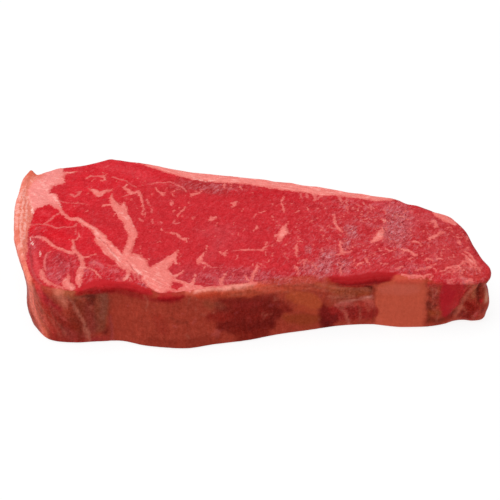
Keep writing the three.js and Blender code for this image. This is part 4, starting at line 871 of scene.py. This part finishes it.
# Noises over the surface, as size in millimetres and seeds. The first three bend the bands, by
# so many millimetres on the upper face and on the cut side; the others shape the fat and relief.
SWAY, WOBBLE, FRAY = (9, 3, 4), (3, 5, 6), (1.3, 7, 8)
PLAN_WOBBLE, CUT_SWAY, CUT_WOBBLE, FRAYING, TONE_SWAY, TURN_WOBBLE = 0.35, 0.5, 0.4, 0.3, 1.6, 0.5
CAP_NOISE, FIBRE_NOISE, SOFT_NOISE, GRAIN_NOISE, SIDE_NOISE = (5, 9), (1, 13), (4, 14), (1.6, 15), (7, 16)

# Starts and ends of smoothsteps. Of how far a wall faces -Y, for the cut side, or +Y, for the back:
FRONT_FACING, BACK_FACING = (0.1, 0.5), (0.2, 0.6)
# Of x and y:
CORNER_TURN, LIP_SIDES, RIM_SKIN_X, EAR_Y = (-92, -86), (10, 30), (-92, -84), (24, 33)
# Of -x, and then of -y:
CAP_FADE, CORNER_X, EAR_X, STRIP_NARROWING, STRIP_FOOT = (-97, -70), (84, 92), (96, 101), (30, 50), (22, 44)
# Of the way down from the rim:
CAP_TOP, LIP_SHADE, SIDE_TURN, CUT_TURN = (0.8, 2.2), (-1.2, 2.0), (-0.2, 1.2), (-1.5, 0.1)
SIDE_OUTER, RIM_SKIN_TOP = (3, 14), (0.2, 2)
# Of the depth in a band of fat or behind its border:
FAT_EDGES, STRIP_OUTER, DEEP_RANGE, OUTER_EDGE = (-1, 0.5), (2, 5), (1, 2.4), (-0.5, 0.5)

# Depths, in millimetres, and what is lost of them for each millimetre down the side.
CAP_DEPTH, CAP_WANDER, STRIP_NARROW, TURN_LEAD, LIP_COVER, LIP_TOP = 2.5, 1.2, 8, 0.6, 2, -6
STRIP_SLOPE, CORNER_SLOPE, LINE_SLOPE, SIDE_SLOPE = 0.4, 0.6, 0.5, 0.5
LIP_EDGE, SINEW_EDGE, CREASE_EDGE, LAY_RANGE = 0.8, 0.6, 0.8, (-1, 1.2)
# Shares: how much a wall must face the front, how strong a tone is, how rough or soft a patch.
IN_FRONT, LIP_FRONT, SINEW_SHARE, EDGE_SHARE, EDGE_FRONT = 0.5, 0.3, 0.45, 0.8, 0.6
PATCH_EDGE, GRIT_EDGE, GRIT_BASE, LIP_SMOOTH = 0.8, 0.7, 0.3, 0.8

# Fibres that hang down the cut side: breadth and length in millimetres, slant and sway.
FIBRE_BREADTH, FIBRE_LENGTH, FIBRE_SLANT, FIBRE_SWAY = 1.1, 8, 0.25, 0.2
# Relief in millimetres: the step up to fat, the sink of the lean, and the height of each noise.
FAT_STEP, FAT_SHOULDER, LEAN_SINK, SOFT_RELIEF = 0.24, (-0.4, 0.8), 0.16, 0.14
GRAIN_RELIEF, FROST_RELIEF, FIBRE_RELIEF, SIDE_RELIEF, CREASE_SINK = 0.05, 0.17, 0.14, 0.3, 0.8


def meat_fields(spot, plan, normal, below, side):
    """Everything that the surface shows, at each point: spot is its place, plan the place on the
    upper face that its seams follow, normal the outline's, below the way down from the rim or,
    negative, in from it, and side 0 on the cut faces and 1 on the side. In millimetres."""
    x, y, z = spot.T
    drop = np.maximum(below, 0) * side
    sway, wobble, fray = (bends(spot, *noise) for noise in (SWAY, WOBBLE, FRAY))
    plan = plan + PLAN_WOBBLE * wobble + FRAYING * fray
    px, py = plan.T
    front = side * smoothstep(np.where(x < CORNER_TURN[1], 0.5, 0) - normal[:, 1], *FRONT_FACING)

    strip = border_depth(STRIP_BORDER, px, py)
    rim = border_depth(RIM_BORDER, px, py)
    back = side * smoothstep(normal[:, 1], *BACK_FACING) * smoothstep(-x, *CAP_FADE)
    cap = (mix(-FIELD_REACH, CAP_DEPTH, back * smoothstep(drop, *CAP_TOP))
           + CAP_WANDER * ripple(spot, *CAP_NOISE))
    strip_fade = (STRIP_NARROW * smoothstep(-y, *STRIP_NARROWING)
                  + STRIP_SLOPE * drop * smoothstep(-y, *STRIP_FOOT))
    outer_fat = np.maximum.reduce([rim, strip - strip_fade, np.where(back > 0, cap, -FIELD_REACH)])
    corner = border_depth(CORNER_BORDER, px, py) - CORNER_SLOPE * drop

    cut_front = np.where(side > 0.5, front, smoothstep(x, *CORNER_TURN))
    dip = np.interp(x, *np.array(TURN_DIPS).T)
    over = cut_front * np.maximum(below - dip + TURN_LEAD, 0)
    near_cut = np.stack([x, below], axis=1) + CUT_WOBBLE * wobble + FRAYING * fray
    cut_side = np.stack([x, np.minimum(below, TONE_FOOT)], axis=1)
    cut_side = cut_side + CUT_SWAY * sway + CUT_WOBBLE * wobble + FRAYING * fray
    lips = np.where(below > LIP_TOP, band_depth(LIPS, near_cut), -FIELD_REACH)
    lips = np.where((side > 0.5) & (front <= LIP_FRONT), -FIELD_REACH, lips)
    lip = smoothstep(lips, -LIP_EDGE, LIP_EDGE)
    fading = over + SIDE_SLOPE * (side - front) * drop + LIP_COVER * lip
    seams = band_depth(SEAMS, plan) - fading - over
    flecks = band_depth(FLECKS + specks(np.random.default_rng(SEED)), plan) - fading
    threads = band_depth(THREADS, plan) - fading
    sinews, creases = (np.where(front > IN_FRONT, band_depth(bands, cut_side), -FIELD_REACH)
                       for bands in (SIDE_SEAMS, SIDE_CREASES))
    # Small painted highlights, on the upper face only.
    painted_glint = np.where(side < 0.5, band_depth(PAINTED_GLINTS, plan), -FIELD_REACH)
    # The fine pale lines are in part painted highlights, and the fine dark lines in part painted shadow.
    pale_line, dark_line = (band_depth(bands, plan) - LINE_SLOPE * drop for bands in (PALE_LINES, DARK_LINES))
    fat = np.maximum.reduce([seams, flecks, corner, outer_fat])

    face_plan = plan + TONE_SWAY * sway
    flesh = brushed(toned(LEAN, FACE_TONES, *face_plan.T), FACE_BANDS, plan)
    skin = brushed(toned(SKIN, [SLAB], *cut_side.T), SIDE_BANDS, cut_side)
    skin = laid(skin, SINEW, SINEW_SHARE * smoothstep(sinews, -SINEW_EDGE, SINEW_EDGE))
    skin = laid(skin, BACK_LEAN, 1 - cut_front)
    side_turn = side * smoothstep(drop + TURN_WOBBLE * wobble[:, 0], *SIDE_TURN)
    cut_turn = smoothstep(below - dip + TURN_WOBBLE * wobble[:, 0], *CUT_TURN)
    turned = mix(side_turn, cut_turn, cut_front)
    flesh = mix(flesh, skin, turned[:, None])
    lip_tone = laid(paint(LIP_RED), LIP_RIGHT, smoothstep(x, *LIP_SIDES))
    # The lip's lower part darkens to a painted shade, where it rolls away from the light.
    lip_tone = laid(lip_tone, LIP_PAINTED_SHADE, smoothstep(below, *LIP_SHADE))
    flesh = mix(flesh, lip_tone, lip[:, None])

    edge_tone = np.maximum(smoothstep(strip, *STRIP_OUTER), side * smoothstep(drop, *SIDE_OUTER))
    tallow = paint(FAT)
    for code, weight in (
            (RIM_FAT, smoothstep(rim, *FAT_EDGES)),
            (CORNER_FAT, smoothstep(-px, *CORNER_X)),
            (STRIP_FAT, smoothstep(strip, *FAT_EDGES)),
            (STRIP_EDGE, EDGE_SHARE * edge_tone * (1 - EDGE_FRONT * front)),
            (STRIP_EDGE, EDGE_SHARE * smoothstep(py, *EAR_Y) * smoothstep(-px, *EAR_X)),
            (RIM_SKIN, front * smoothstep(drop, *RIM_SKIN_TOP) * smoothstep(x, *RIM_SKIN_X))):
        tallow = laid(tallow, code, weight)

    frost = strongest(FROST_PATCHES, *face_plan.T, PATCH_EDGE) * (1 - turned) * (1 - lip)
    grit = mix(1 - LIP_SMOOTH * lip, GRIT_BASE + strongest(GRIT_PATCHES, x, below, GRIT_EDGE), turned)
    deep = smoothstep(np.maximum(seams, corner), *DEEP_RANGE) * (1 - smoothstep(outer_fat, *OUTER_EDGE))
    lay = np.maximum(outer_fat, np.clip(fat, *LAY_RANGE)) + drop

    strand = np.stack([(x + FIBRE_SLANT * z) / FIBRE_BREADTH, y / FIBRE_BREADTH, z / FIBRE_LENGTH], axis=1)
    fibres = ripple(strand + FIBRE_SWAY * sway[:, :1], *FIBRE_NOISE)
    relief = (FAT_STEP * smoothstep(fat, *FAT_SHOULDER) - LEAN_SINK
              + SOFT_RELIEF * ripple(spot, *SOFT_NOISE)
              + (GRAIN_RELIEF + FROST_RELIEF * frost) * ripple(spot, *GRAIN_NOISE)
              + FIBRE_RELIEF * fibres * front + SIDE_RELIEF * side * ripple(spot, *SIDE_NOISE)
              - CREASE_SINK * smoothstep(creases, -CREASE_EDGE, CREASE_EDGE))
    fields = {"fat": fat, "thread": threads, "frost": frost, "grit": grit, "lay": lay, "deep": deep,
              "turned": turned, "painted_glint": painted_glint, "pale_line": pale_line, "dark_line": dark_line,
              "flesh": flesh, "tallow": tallow}
    return fields, relief


# ---- the steak -------------------------------------------------------------------------------------

UV_SCALE = 0.0043            # breadths of the picture for each millimetre
GIRTH = 36.0                 # length of the side from foot to rim, in millimetres
FACE_UV, UNDER_UV, UNDER_SHARE = (0.5, 0.77), (0.24, 0.11), 0.45
# Where each run of the side lies in the picture, and its share of the scale.
RUN_UV = [(0.5, 0.21, 1), (0.46, 0.03, 0.6), (0.03, 0.21, 1), (0.03, 0.38, 1)]
SKIN_DEPTH = 0.25            # how far the smooth form is drawn in, to leave room for its relief
FOOT_HELD = 2.5              # height below which the relief of the side fades out
UNDER_SLIDE, UNDER_NOISE = 2.4, (24, 21, 22)     # how the underside's seams wander off the face's
FAR_IN = 99.0                # way in from the rim that counts as out of its reach


def quads(index):
    """The cells of a grid of vertex numbers, each as the four corners round it."""
    corners = [index[:-1, :-1], index[1:, :-1], index[1:, 1:], index[:-1, 1:]]
    return np.stack(corners, axis=-1).reshape(-1, 4)


def framed(inner_start, ring, along, across):
    """Vertex numbers of a patch: its border taken from a ring, and new numbers inside."""
    index = np.empty((along + 1, across + 1), int)
    index[1:-1, 1:-1] = inner_start + np.arange((along - 1) * (across - 1)).reshape(along - 1, across - 1)
    index[:, 0], index[:, -1], index[0], index[-1] = ring_sides(ring, along, across)
    return index


def steak_surface():
    """All points, faces and picture places of the steak: rings of the side, then the inner points
    of the upper face, then those of the underside, whose grid is half as fine."""
    place, overhang, normal, travelled = side_columns()
    count = len(place)
    rings, facing = side_surface(place, overhang, normal)
    rows = len(rings)
    face, u, v = blended_patch(rings[-1], ALONG, ACROSS)
    crown = CROWN * (1 - (2 * u - 1) ** CROWN_FLAT_ALONG) * (1 - (2 * v - 1) ** CROWN_FLAT_ACROSS)
    face[..., 2] = face_height(face[..., 0], face[..., 1]) + crown
    under = blended_patch(rings[0][::2], ALONG // 2, ACROSS // 2)[0]
    inner_face = face[1:-1, 1:-1].reshape(-1, 3)
    inner_under = under[1:-1, 1:-1].reshape(-1, 3)

    below = (rings[-1][:, 2] - rings[..., 2]).reshape(-1)
    cut_x, cut_y = ring_sides(rings[-1], ALONG, ACROSS)[0][:, :2].T
    rim_plan = np.broadcast_to(rings[-1][:, :2], rings[..., :2].shape).reshape(-1, 2)
    side_fields, side_relief = meat_fields(rings.reshape(-1, 3), rim_plan,
                                           np.tile(normal, (rows, 1)), below, np.ones(len(below)))
    inward = np.interp(inner_face[:, 0], cut_x, cut_y) - inner_face[:, 1]
    level, off = np.zeros((len(inner_face), 2)), np.zeros(len(inner_face))
    face_fields, face_relief = meat_fields(inner_face, inner_face[:, :2], level, inward, off)
    other = inner_under + [0, 0, -THICKNESS]
    slide = UNDER_SLIDE * bends(other, *UNDER_NOISE)
    level, off = np.zeros((len(other), 2)), np.zeros(len(other))
    under_fields = meat_fields(other, other[:, :2] + slide, level, off - FAR_IN, off)[0]

    held = smoothstep(rings[..., 2], 0, FOOT_HELD).reshape(-1)
    side_rise = (held * (side_relief - SKIN_DEPTH))[:, None]
    side_points = rings.reshape(-1, 3) + facing.reshape(-1, 3) * side_rise
    face_points = inner_face + np.outer(face_relief - SKIN_DEPTH, [0, 0, 1])
    points = np.concatenate([side_points, face_points, inner_under]) + [SHIFT_X, SHIFT_Y, 0]
    fields = {name: np.concatenate([side_fields[name], face_fields[name], under_fields[name]])
              for name in side_fields}

    side_index = np.arange(rows * count).reshape(rows, count)
    face_index = framed(rows * count, side_index[-1], ALONG, ACROSS)
    under_index = framed(rows * count + len(inner_face), side_index[0][::2], ALONG // 2, ACROSS // 2)
    return points, fields, side_index, face_index, under_index, travelled, side_index[0]


def steak_faces(side_index, face_index, under_index, foot):
    """Four-cornered cells of the side and the upper face, and cells of the underside with the odd
    points of the foot ring set into their outer edges."""
    wrapped = np.concatenate([side_index, side_index[:, :1]], axis=1)
    side = quads(wrapped.T)
    face = quads(face_index)
    cells = np.full((under_index.shape[0] - 1, under_index.shape[1] - 1, 8), -1)
    cells[..., 0], cells[..., 2] = under_index[:-1, :-1], under_index[:-1, 1:]
    cells[..., 4], cells[..., 6] = under_index[1:, 1:], under_index[1:, :-1]
    cut, fat, end, tip = ring_sides(foot, ALONG, ACROSS)
    cells[0, :, 1], cells[:, -1, 3] = end[1::2], fat[1::2]
    cells[-1, :, 5], cells[:, 0, 7] = tip[1::2], cut[1::2]
    return side, face, cells.reshape(-1, 8)


def side_picture(travelled, rows):
    """Picture places of the side's cells, as wide as the way round each of its four runs and as
    high as its girth, each run at its own place and share of the scale."""
    counts = (ACROSS, ALONG, ACROSS, ALONG)
    starts = np.repeat(np.cumsum((0,) + counts[:-1]), counts)
    u0, v0, share = np.repeat(np.array(RUN_UV), counts, axis=0).T
    left = u0 + (travelled[:-1] - travelled[starts]) * UV_SCALE * share
    right = u0 + (travelled[1:] - travelled[starts]) * UV_SCALE * share
    low = v0[:, None] + np.outer(share, np.arange(rows - 1)) * GIRTH / (rows - 1) * UV_SCALE
    high = low + (share * GIRTH / (rows - 1) * UV_SCALE)[:, None]
    left, right = (np.broadcast_to(edge[:, None], low.shape) for edge in (left, right))
    corners = np.stack([left, low, right, low, right, high, left, high], axis=-1)
    return corners.reshape(-1, 2)


def make_steak():
    """The steak's mesh with its picture places and its fields, riding on the root body."""
    points, fields, side_index, face_index, under_index, travelled, foot = steak_surface()
    side, face, under = steak_faces(side_index, face_index, under_index, foot)
    under = [[corner for corner in cell if corner >= 0] for cell in under.tolist()]
    mesh = bpy.data.meshes.new("steak_meat")
    mesh.from_pydata((points * MM).tolist(), [], np.concatenate([side, face]).tolist() + under)
    mesh.polygons.foreach_set("use_smooth", np.ones(len(mesh.polygons), bool))

    flat = points[:, :2] * UV_SCALE
    face_picture = flat[face.reshape(-1)] + FACE_UV
    under_corners = [corner for cell in under for corner in cell]
    under_picture = flat[under_corners] * [-UNDER_SHARE, UNDER_SHARE] + UNDER_UV
    picture = np.concatenate([side_picture(travelled, len(side_index)), face_picture, under_picture])
    layer = mesh.uv_layers.new(name="OFBake")
    layer.data.foreach_set("uv", picture.astype(np.float32).reshape(-1))

    for name, values in fields.items():
        if values.ndim == 1:
            layer = mesh.attributes.new(name, "FLOAT", "POINT")
            layer.data.foreach_set("value", values.astype(np.float32))
        else:
            layer = mesh.attributes.new(name, "FLOAT_COLOR", "POINT")
            rgba = np.concatenate([values, np.ones((len(values), 1))], axis=1)
            layer.data.foreach_set("color", rgba.astype(np.float32).reshape(-1))
    mesh.validate()
    steak = bpy.data.objects.new("steak_meat", mesh)
    bpy.context.scene.collection.objects.link(steak)
    steak.data.materials.append(raw_beef())
    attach(steak, "root")
    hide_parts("steak")
    return steak


# ---- material --------------------------------------------------------------------------------------

PER_METRE = 1000.0           # a noise of size 1 mm repeats this many times a metre
EYE_GAMMA = 2.2              # brightness is shifted in even steps to the eye
FLOW = math.radians(28)      # turn of the streaks and ridges of the meat
STRAND_LENGTH = 6.0          # millimetres along a strand of fat
ROUGHNESS, SPECULAR, MEAT_IOR = 0.36, 0.03, 1.4

# Ragged masks: their field, the depth where they start, softness, raggedness and size of it.
MASKS = {
    "fat": ("fat", 0.0, 0.4, 0.55, 1.1), "core": ("fat", 0.8, 0.8, 0.7, 1.6),
    "thread": ("thread", 0.0, 0.4, 0.3, 0.9), "painted_glint": ("painted_glint", 0.0, 0.3, 0.5, 0.7),
    "pale_line": ("pale_line", 0.0, 0.4, 0.5, 1.0), "dark_line": ("dark_line", 0.0, 0.4, 0.3, 1.0),
}


def add(tree, kind, sockets=(), **settings):
    """A node with its settings, and each input either linked to a socket or set to a value."""
    made = tree.nodes.new(kind)
    for name, value in settings.items():
        setattr(made, name, value)
    for name, value in dict(sockets).items():
        if isinstance(value, bpy.types.NodeSocket):
            tree.links.new(value, made.inputs[name])
        else:
            made.inputs[name].default_value = value
    return made


def new_group(name, inputs, output):
    """An empty node group with number inputs and one number output; returns its two end nodes."""
    tree = bpy.data.node_groups.new(name, "ShaderNodeTree")
    for title, value in inputs.items():
        socket = tree.interface.new_socket(title, in_out="INPUT", socket_type="NodeSocketFloat")
        socket.default_value = value
    tree.interface.new_socket(output, in_out="OUTPUT", socket_type="NodeSocketFloat")
    return tree, tree.nodes.new("NodeGroupInput"), tree.nodes.new("NodeGroupOutput")


def sum_of(tree, a, b, operation="ADD"):
    """The sum of two numbers or sockets, or another operation on them."""
    return add(tree, "ShaderNodeMath", {0: a, 1: b}, operation=operation).outputs[0]


def noise_at(tree, size, detail=2.0, stretch=(1, 1, 1), twist=0.0, turn=0.0):
    """Noise over the surface from -1 to 1, whose blobs are about the given size in millimetres,
    times the stretch along each axis, with its pattern turned clockwise round Z by an angle."""
    place = add(tree, "ShaderNodeTexCoord").outputs["Object"]
    if turn:
        turned = add(tree, "ShaderNodeVectorRotate", {"Vector": place, "Angle": turn}, rotation_type="Z_AXIS")
        place = turned.outputs[0]
    scale = add(tree, "ShaderNodeVectorMath", {0: place}, operation="MULTIPLY")
    scale.inputs[1].default_value = [PER_METRE / part for part in stretch]
    return spread_noise(tree, scale.outputs[0], sum_of(tree, 1.0, size, "DIVIDE"), detail, twist)


def spread_noise(tree, place, scale, detail, twist=0.0):
    """Noise of a scale at a place, spread out to the range from -1 to 1."""
    sockets = {"Vector": place, "Scale": scale, "Detail": detail, "Distortion": twist}
    noise = add(tree, "ShaderNodeTexNoise", sockets).outputs[0]
    return add(tree, "ShaderNodeMapRange", {"Value": noise, 1: 0.25, 2: 0.75, 3: -1.0, 4: 1.0}).outputs[0]


def ragged_edge_group():
    """Depth inside a band, made ragged by noise of a size, turned into a mask of a softness."""
    tree, start, end = new_group(
        "ragged_edge", {"Depth": 0.0, "Softness": 0.3, "Raggedness": 0.2, "Size": 1.0}, "Mask")
    noise = noise_at(tree, start.outputs["Size"])
    frayed = sum_of(tree, noise, start.outputs["Raggedness"], "MULTIPLY")
    depth = sum_of(tree, start.outputs["Depth"], frayed)
    low = sum_of(tree, 0.0, start.outputs["Softness"], "SUBTRACT")
    mask = add(tree, "ShaderNodeMapRange", {"Value": depth, 1: low, 2: start.outputs["Softness"]},
               interpolation_type="SMOOTHSTEP")
    tree.links.new(mask.outputs[0], end.inputs["Mask"])
    return tree


def mixed(tree, factor, a, b, blend="MIX"):
    """Two colours mixed by a factor; each is a socket or a colour written as a code."""
    made = add(tree, "ShaderNodeMix", {"Factor": factor}, data_type="RGBA", blend_type=blend)
    for socket, value in ((made.inputs[6], a), (made.inputs[7], b)):
        if isinstance(value, bpy.types.NodeSocket):
            tree.links.new(value, socket)
        else:
            socket.default_value = (*paint(value), 1)
    return made.outputs[2]


def raw_beef():
    """Moist raw beef: the flesh and fat tones of the fields, with ragged fat edges, mottled lean,
    pale frosted strokes that are partly painted sheen, streaks along the fat, small painted
    highlights, and a fine relief under a thin moist gloss."""
    material = bpy.data.materials.new("raw_beef")
    material.use_nodes = True
    tree = material.node_tree
    shader = tree.nodes["Principled BSDF"]
    ragged_edge = ragged_edge_group()

    def field(name, output="Fac"):
        return add(tree, "ShaderNodeAttribute", attribute_name=name).outputs[output]

    def mask(name):
        source, start, softness, raggedness, size = MASKS[name]
        sockets = {"Depth": plus(field(source), -start), "Softness": softness,
                   "Raggedness": raggedness, "Size": size}
        return add(tree, "ShaderNodeGroup", sockets, node_tree=ragged_edge).outputs["Mask"]

    def times(a, b):
        return sum_of(tree, a, b, "MULTIPLY")

    def plus(a, b):
        return sum_of(tree, a, b)

    def total(*parts):
        result = times(*parts[0])
        for part in parts[1:]:
            result = plus(result, times(*part))
        return result

    def rest_of(share):
        return sum_of(tree, 1.0, share, "SUBTRACT")

    def above(value, low, high):
        return add(tree, "ShaderNodeMapRange", {"Value": value, 1: low, 2: high}).outputs[0]

    def shifted(colour, wander):
        eye = add(tree, "ShaderNodeGamma", {"Color": colour, "Gamma": 1 / EYE_GAMMA}).outputs[0]
        moved = add(tree, "ShaderNodeVectorMath", {0: eye, 1: wander}, operation="ADD").outputs[0]
        kept = add(tree, "ShaderNodeVectorMath", {0: moved}, operation="MAXIMUM").outputs[0]
        return add(tree, "ShaderNodeGamma", {"Color": kept, "Gamma": EYE_GAMMA}).outputs[0]

    def shaded(colour, wander):
        bright = plus(wander, 1.0)
        grey = add(tree, "ShaderNodeCombineColor", {0: bright, 1: bright, 2: bright}).outputs[0]
        return mixed(tree, 1.0, colour, grey, "MULTIPLY")

    fat, core, thread, painted_glint, pale_line, dark_line = (mask(name) for name in MASKS)
    frosted, grit, turned, deep = field("frost"), field("grit"), field("turned"), field("deep")
    on_face = rest_of(turned)
    slow, middle, fine = noise_at(tree, 5.0, 2.0), noise_at(tree, 1.7, 1.0), noise_at(tree, 0.65, 1.0)
    upright = noise_at(tree, 1.0, 3.0, (1, 1, 7))
    streaks = noise_at(tree, 0.8, 2.0, (5, 1, 1), turn=FLOW)
    ridges = noise_at(tree, 1.0, 1.5, (1, 2.6, 1), twist=0.8, turn=FLOW)
    blotches, flaws = noise_at(tree, 2.4, 3.0), noise_at(tree, 0.9, 2.0)

    side_mottle = total((upright, 0.14), (middle, 0.06))
    mottle = total((slow, 0.08), (middle, 0.05), (streaks, 0.04), (turned, side_mottle))
    flesh = shaded(field("flesh", "Color"), times(mottle, grit))
    frost = above(plus(frosted, times(slow, 0.4)), 0.25, 0.95)
    rough = times(plus(times(frosted, 0.75), 0.09), grit)
    # The frosted mauve and the pale strokes are partly the grain's own tone and partly painted sheen.
    for share, code in (
            (times(frost, 0.58), MAUVE_AND_SHEEN),
            (times(above(ridges, -0.05, -0.8), rough), DARK_STROKE),
            (times(above(ridges, 0.05, 0.8), times(rough, on_face)), STROKE),
            (times(thread, 0.75), FIBRE)):
        flesh = mixed(tree, share, flesh, code)

    place = add(tree, "ShaderNodeTexCoord").outputs["Object"]
    along = add(tree, "ShaderNodeSeparateXYZ", {0: place}).outputs
    along = plus(along[0], sum_of(tree, along[1], along[2], "SUBTRACT"))
    along = times(along, PER_METRE / STRAND_LENGTH)
    strands = add(tree, "ShaderNodeCombineXYZ", {0: field("lay"), 1: along}).outputs[0]
    strands = spread_noise(tree, strands, 1.0, 3.0)
    even = times(deep, 0.6)
    strands = total((strands, rest_of(even)), (streaks, even))
    tallow = shaded(field("tallow", "Color"), total((strands, 0.11), (flaws, 0.08)))
    tallow = mixed(tree, times(above(plus(strands, blotches), 0.2, 1.2), 0.45), tallow, PALE_LINE)
    tallow = mixed(tree, times(above(plus(flaws, times(strands, -0.6)), 0.3, 1.3), 0.5), tallow, SEAM_EDGE)
    tallow = mixed(tree, core, mixed(tree, 0.5, tallow, SEAM_EDGE), tallow)

    colour = mixed(tree, fat, flesh, tallow)
    for share, code in (
            # dark lines in part painted shadow, pale lines in part painted highlights
            (times(dark_line, 0.5), DARK_LINE), (times(pale_line, 0.5), PALE_LINE),
            # small painted highlights
            (times(painted_glint, 0.8), PAINTED_GLINT_WHITE)):
        colour = mixed(tree, share, colour, code)
    fine_part = total((grit, 0.035), (times(frosted, on_face), 0.03), (fat, -0.005))
    colour = shifted(colour, total((fine, fine_part), (middle, times(fine_part, 0.5))))
    tree.links.new(colour, shader.inputs["Base Color"])
    tree.links.new(plus(total((fat, 0.08), (fine, 0.05)), ROUGHNESS), shader.inputs["Roughness"])
    shader.inputs["Specular IOR Level"].default_value = SPECULAR
    shader.inputs["IOR"].default_value = MEAT_IOR

    height = times(total((frosted, 0.16), (grit, 0.05)), plus(fine, ridges))
    height = plus(height, times(fat, plus(times(strands, 0.06), 0.05)))
    bump = add(tree, "ShaderNodeBump", {"Height": height, "Distance": MM, "Strength": 1.0})
    tree.links.new(bump.outputs[0], shader.inputs["Normal"])
    return material


# ---- floor, light and camera --------------------------------------------------------------------------

FLOOR_SIZE = 12.0
FLOOR_GREY, FLOOR_GLOW, FLOOR_ROUGHNESS, FLOOR_SPECULAR = 0.12, 0.88, 0.9, 0.1
SUN_HEIGHT, SUN_TURN, SUN_SPREAD = 74, 285, 50      # degrees above the floor, round Z, and across
SUN_STRENGTH, SKY_STRENGTH = 2.35, 0.42
CAMERA_PLACE = (0.0741, -0.59566, 0.5059)
CAMERA_TARGET = (0.0002, 0.00604, 0.015)
CAMERA_LENS, CAMERA_FRAME = 125.4, 36               # millimetres
CAMERA_NEAR = 0.01


def make_floor():
    """A plain pale floor under the steak."""
    half = FLOOR_SIZE / 2
    mesh = bpy.data.meshes.new("floor")
    corners = [(-half, -half, 0), (half, -half, 0), (half, half, 0), (-half, half, 0)]
    mesh.from_pydata(corners, [], [(0, 1, 2, 3)])
    floor = bpy.data.objects.new("floor", mesh)
    bpy.context.scene.collection.objects.link(floor)
    material = bpy.data.materials.new("pale_floor")
    material.use_nodes = True
    shader = material.node_tree.nodes["Principled BSDF"]
    shader.inputs["Base Color"].default_value = (FLOOR_GREY, FLOOR_GREY, FLOOR_GREY, 1)
    shader.inputs["Emission Color"].default_value = (1, 1, 1, 1)
    shader.inputs["Emission Strength"].default_value = FLOOR_GLOW
    shader.inputs["Roughness"].default_value = FLOOR_ROUGHNESS
    shader.inputs["Specular IOR Level"].default_value = FLOOR_SPECULAR
    floor.data.materials.append(material)


def make_light():
    """A broad soft sun high behind the steak, and an even pale sky."""
    sun = bpy.data.lights.new("soft_sun", "SUN")
    sun.energy = SUN_STRENGTH
    sun.angle = math.radians(SUN_SPREAD)
    lamp = bpy.data.objects.new("soft_sun", sun)
    turn, height = math.radians(SUN_TURN), math.radians(SUN_HEIGHT)
    level = math.cos(height)
    towards = Vector((math.sin(turn) * level, -math.cos(turn) * level, math.sin(height)))
    lamp.rotation_mode = "QUATERNION"
    lamp.rotation_quaternion = towards.to_track_quat("Z", "Y")
    bpy.context.scene.collection.objects.link(lamp)
    world = bpy.data.worlds.new("pale_sky")
    world.use_nodes = True
    sky = world.node_tree.nodes["Background"]
    sky.inputs["Color"].default_value = (1, 1, 1, 1)
    sky.inputs["Strength"].default_value = SKY_STRENGTH
    bpy.context.scene.world = world


def make_camera():
    """A long lens from the cut side, looking down at about 39 degrees."""
    lens = bpy.data.cameras.new("camera")
    lens.lens = CAMERA_LENS
    lens.sensor_width = CAMERA_FRAME
    lens.clip_start = CAMERA_NEAR
    camera = bpy.data.objects.new("camera", lens)
    camera.location = CAMERA_PLACE
    camera.rotation_mode = "QUATERNION"
    sight = Vector(CAMERA_PLACE) - Vector(CAMERA_TARGET)
    camera.rotation_quaternion = sight.to_track_quat("Z", "Y")
    bpy.context.scene.collection.objects.link(camera)
    bpy.context.scene.camera = camera


make_floor()
make_light()
make_camera()
make_steak()
bpy.context.scene.view_settings.view_transform = "Standard"
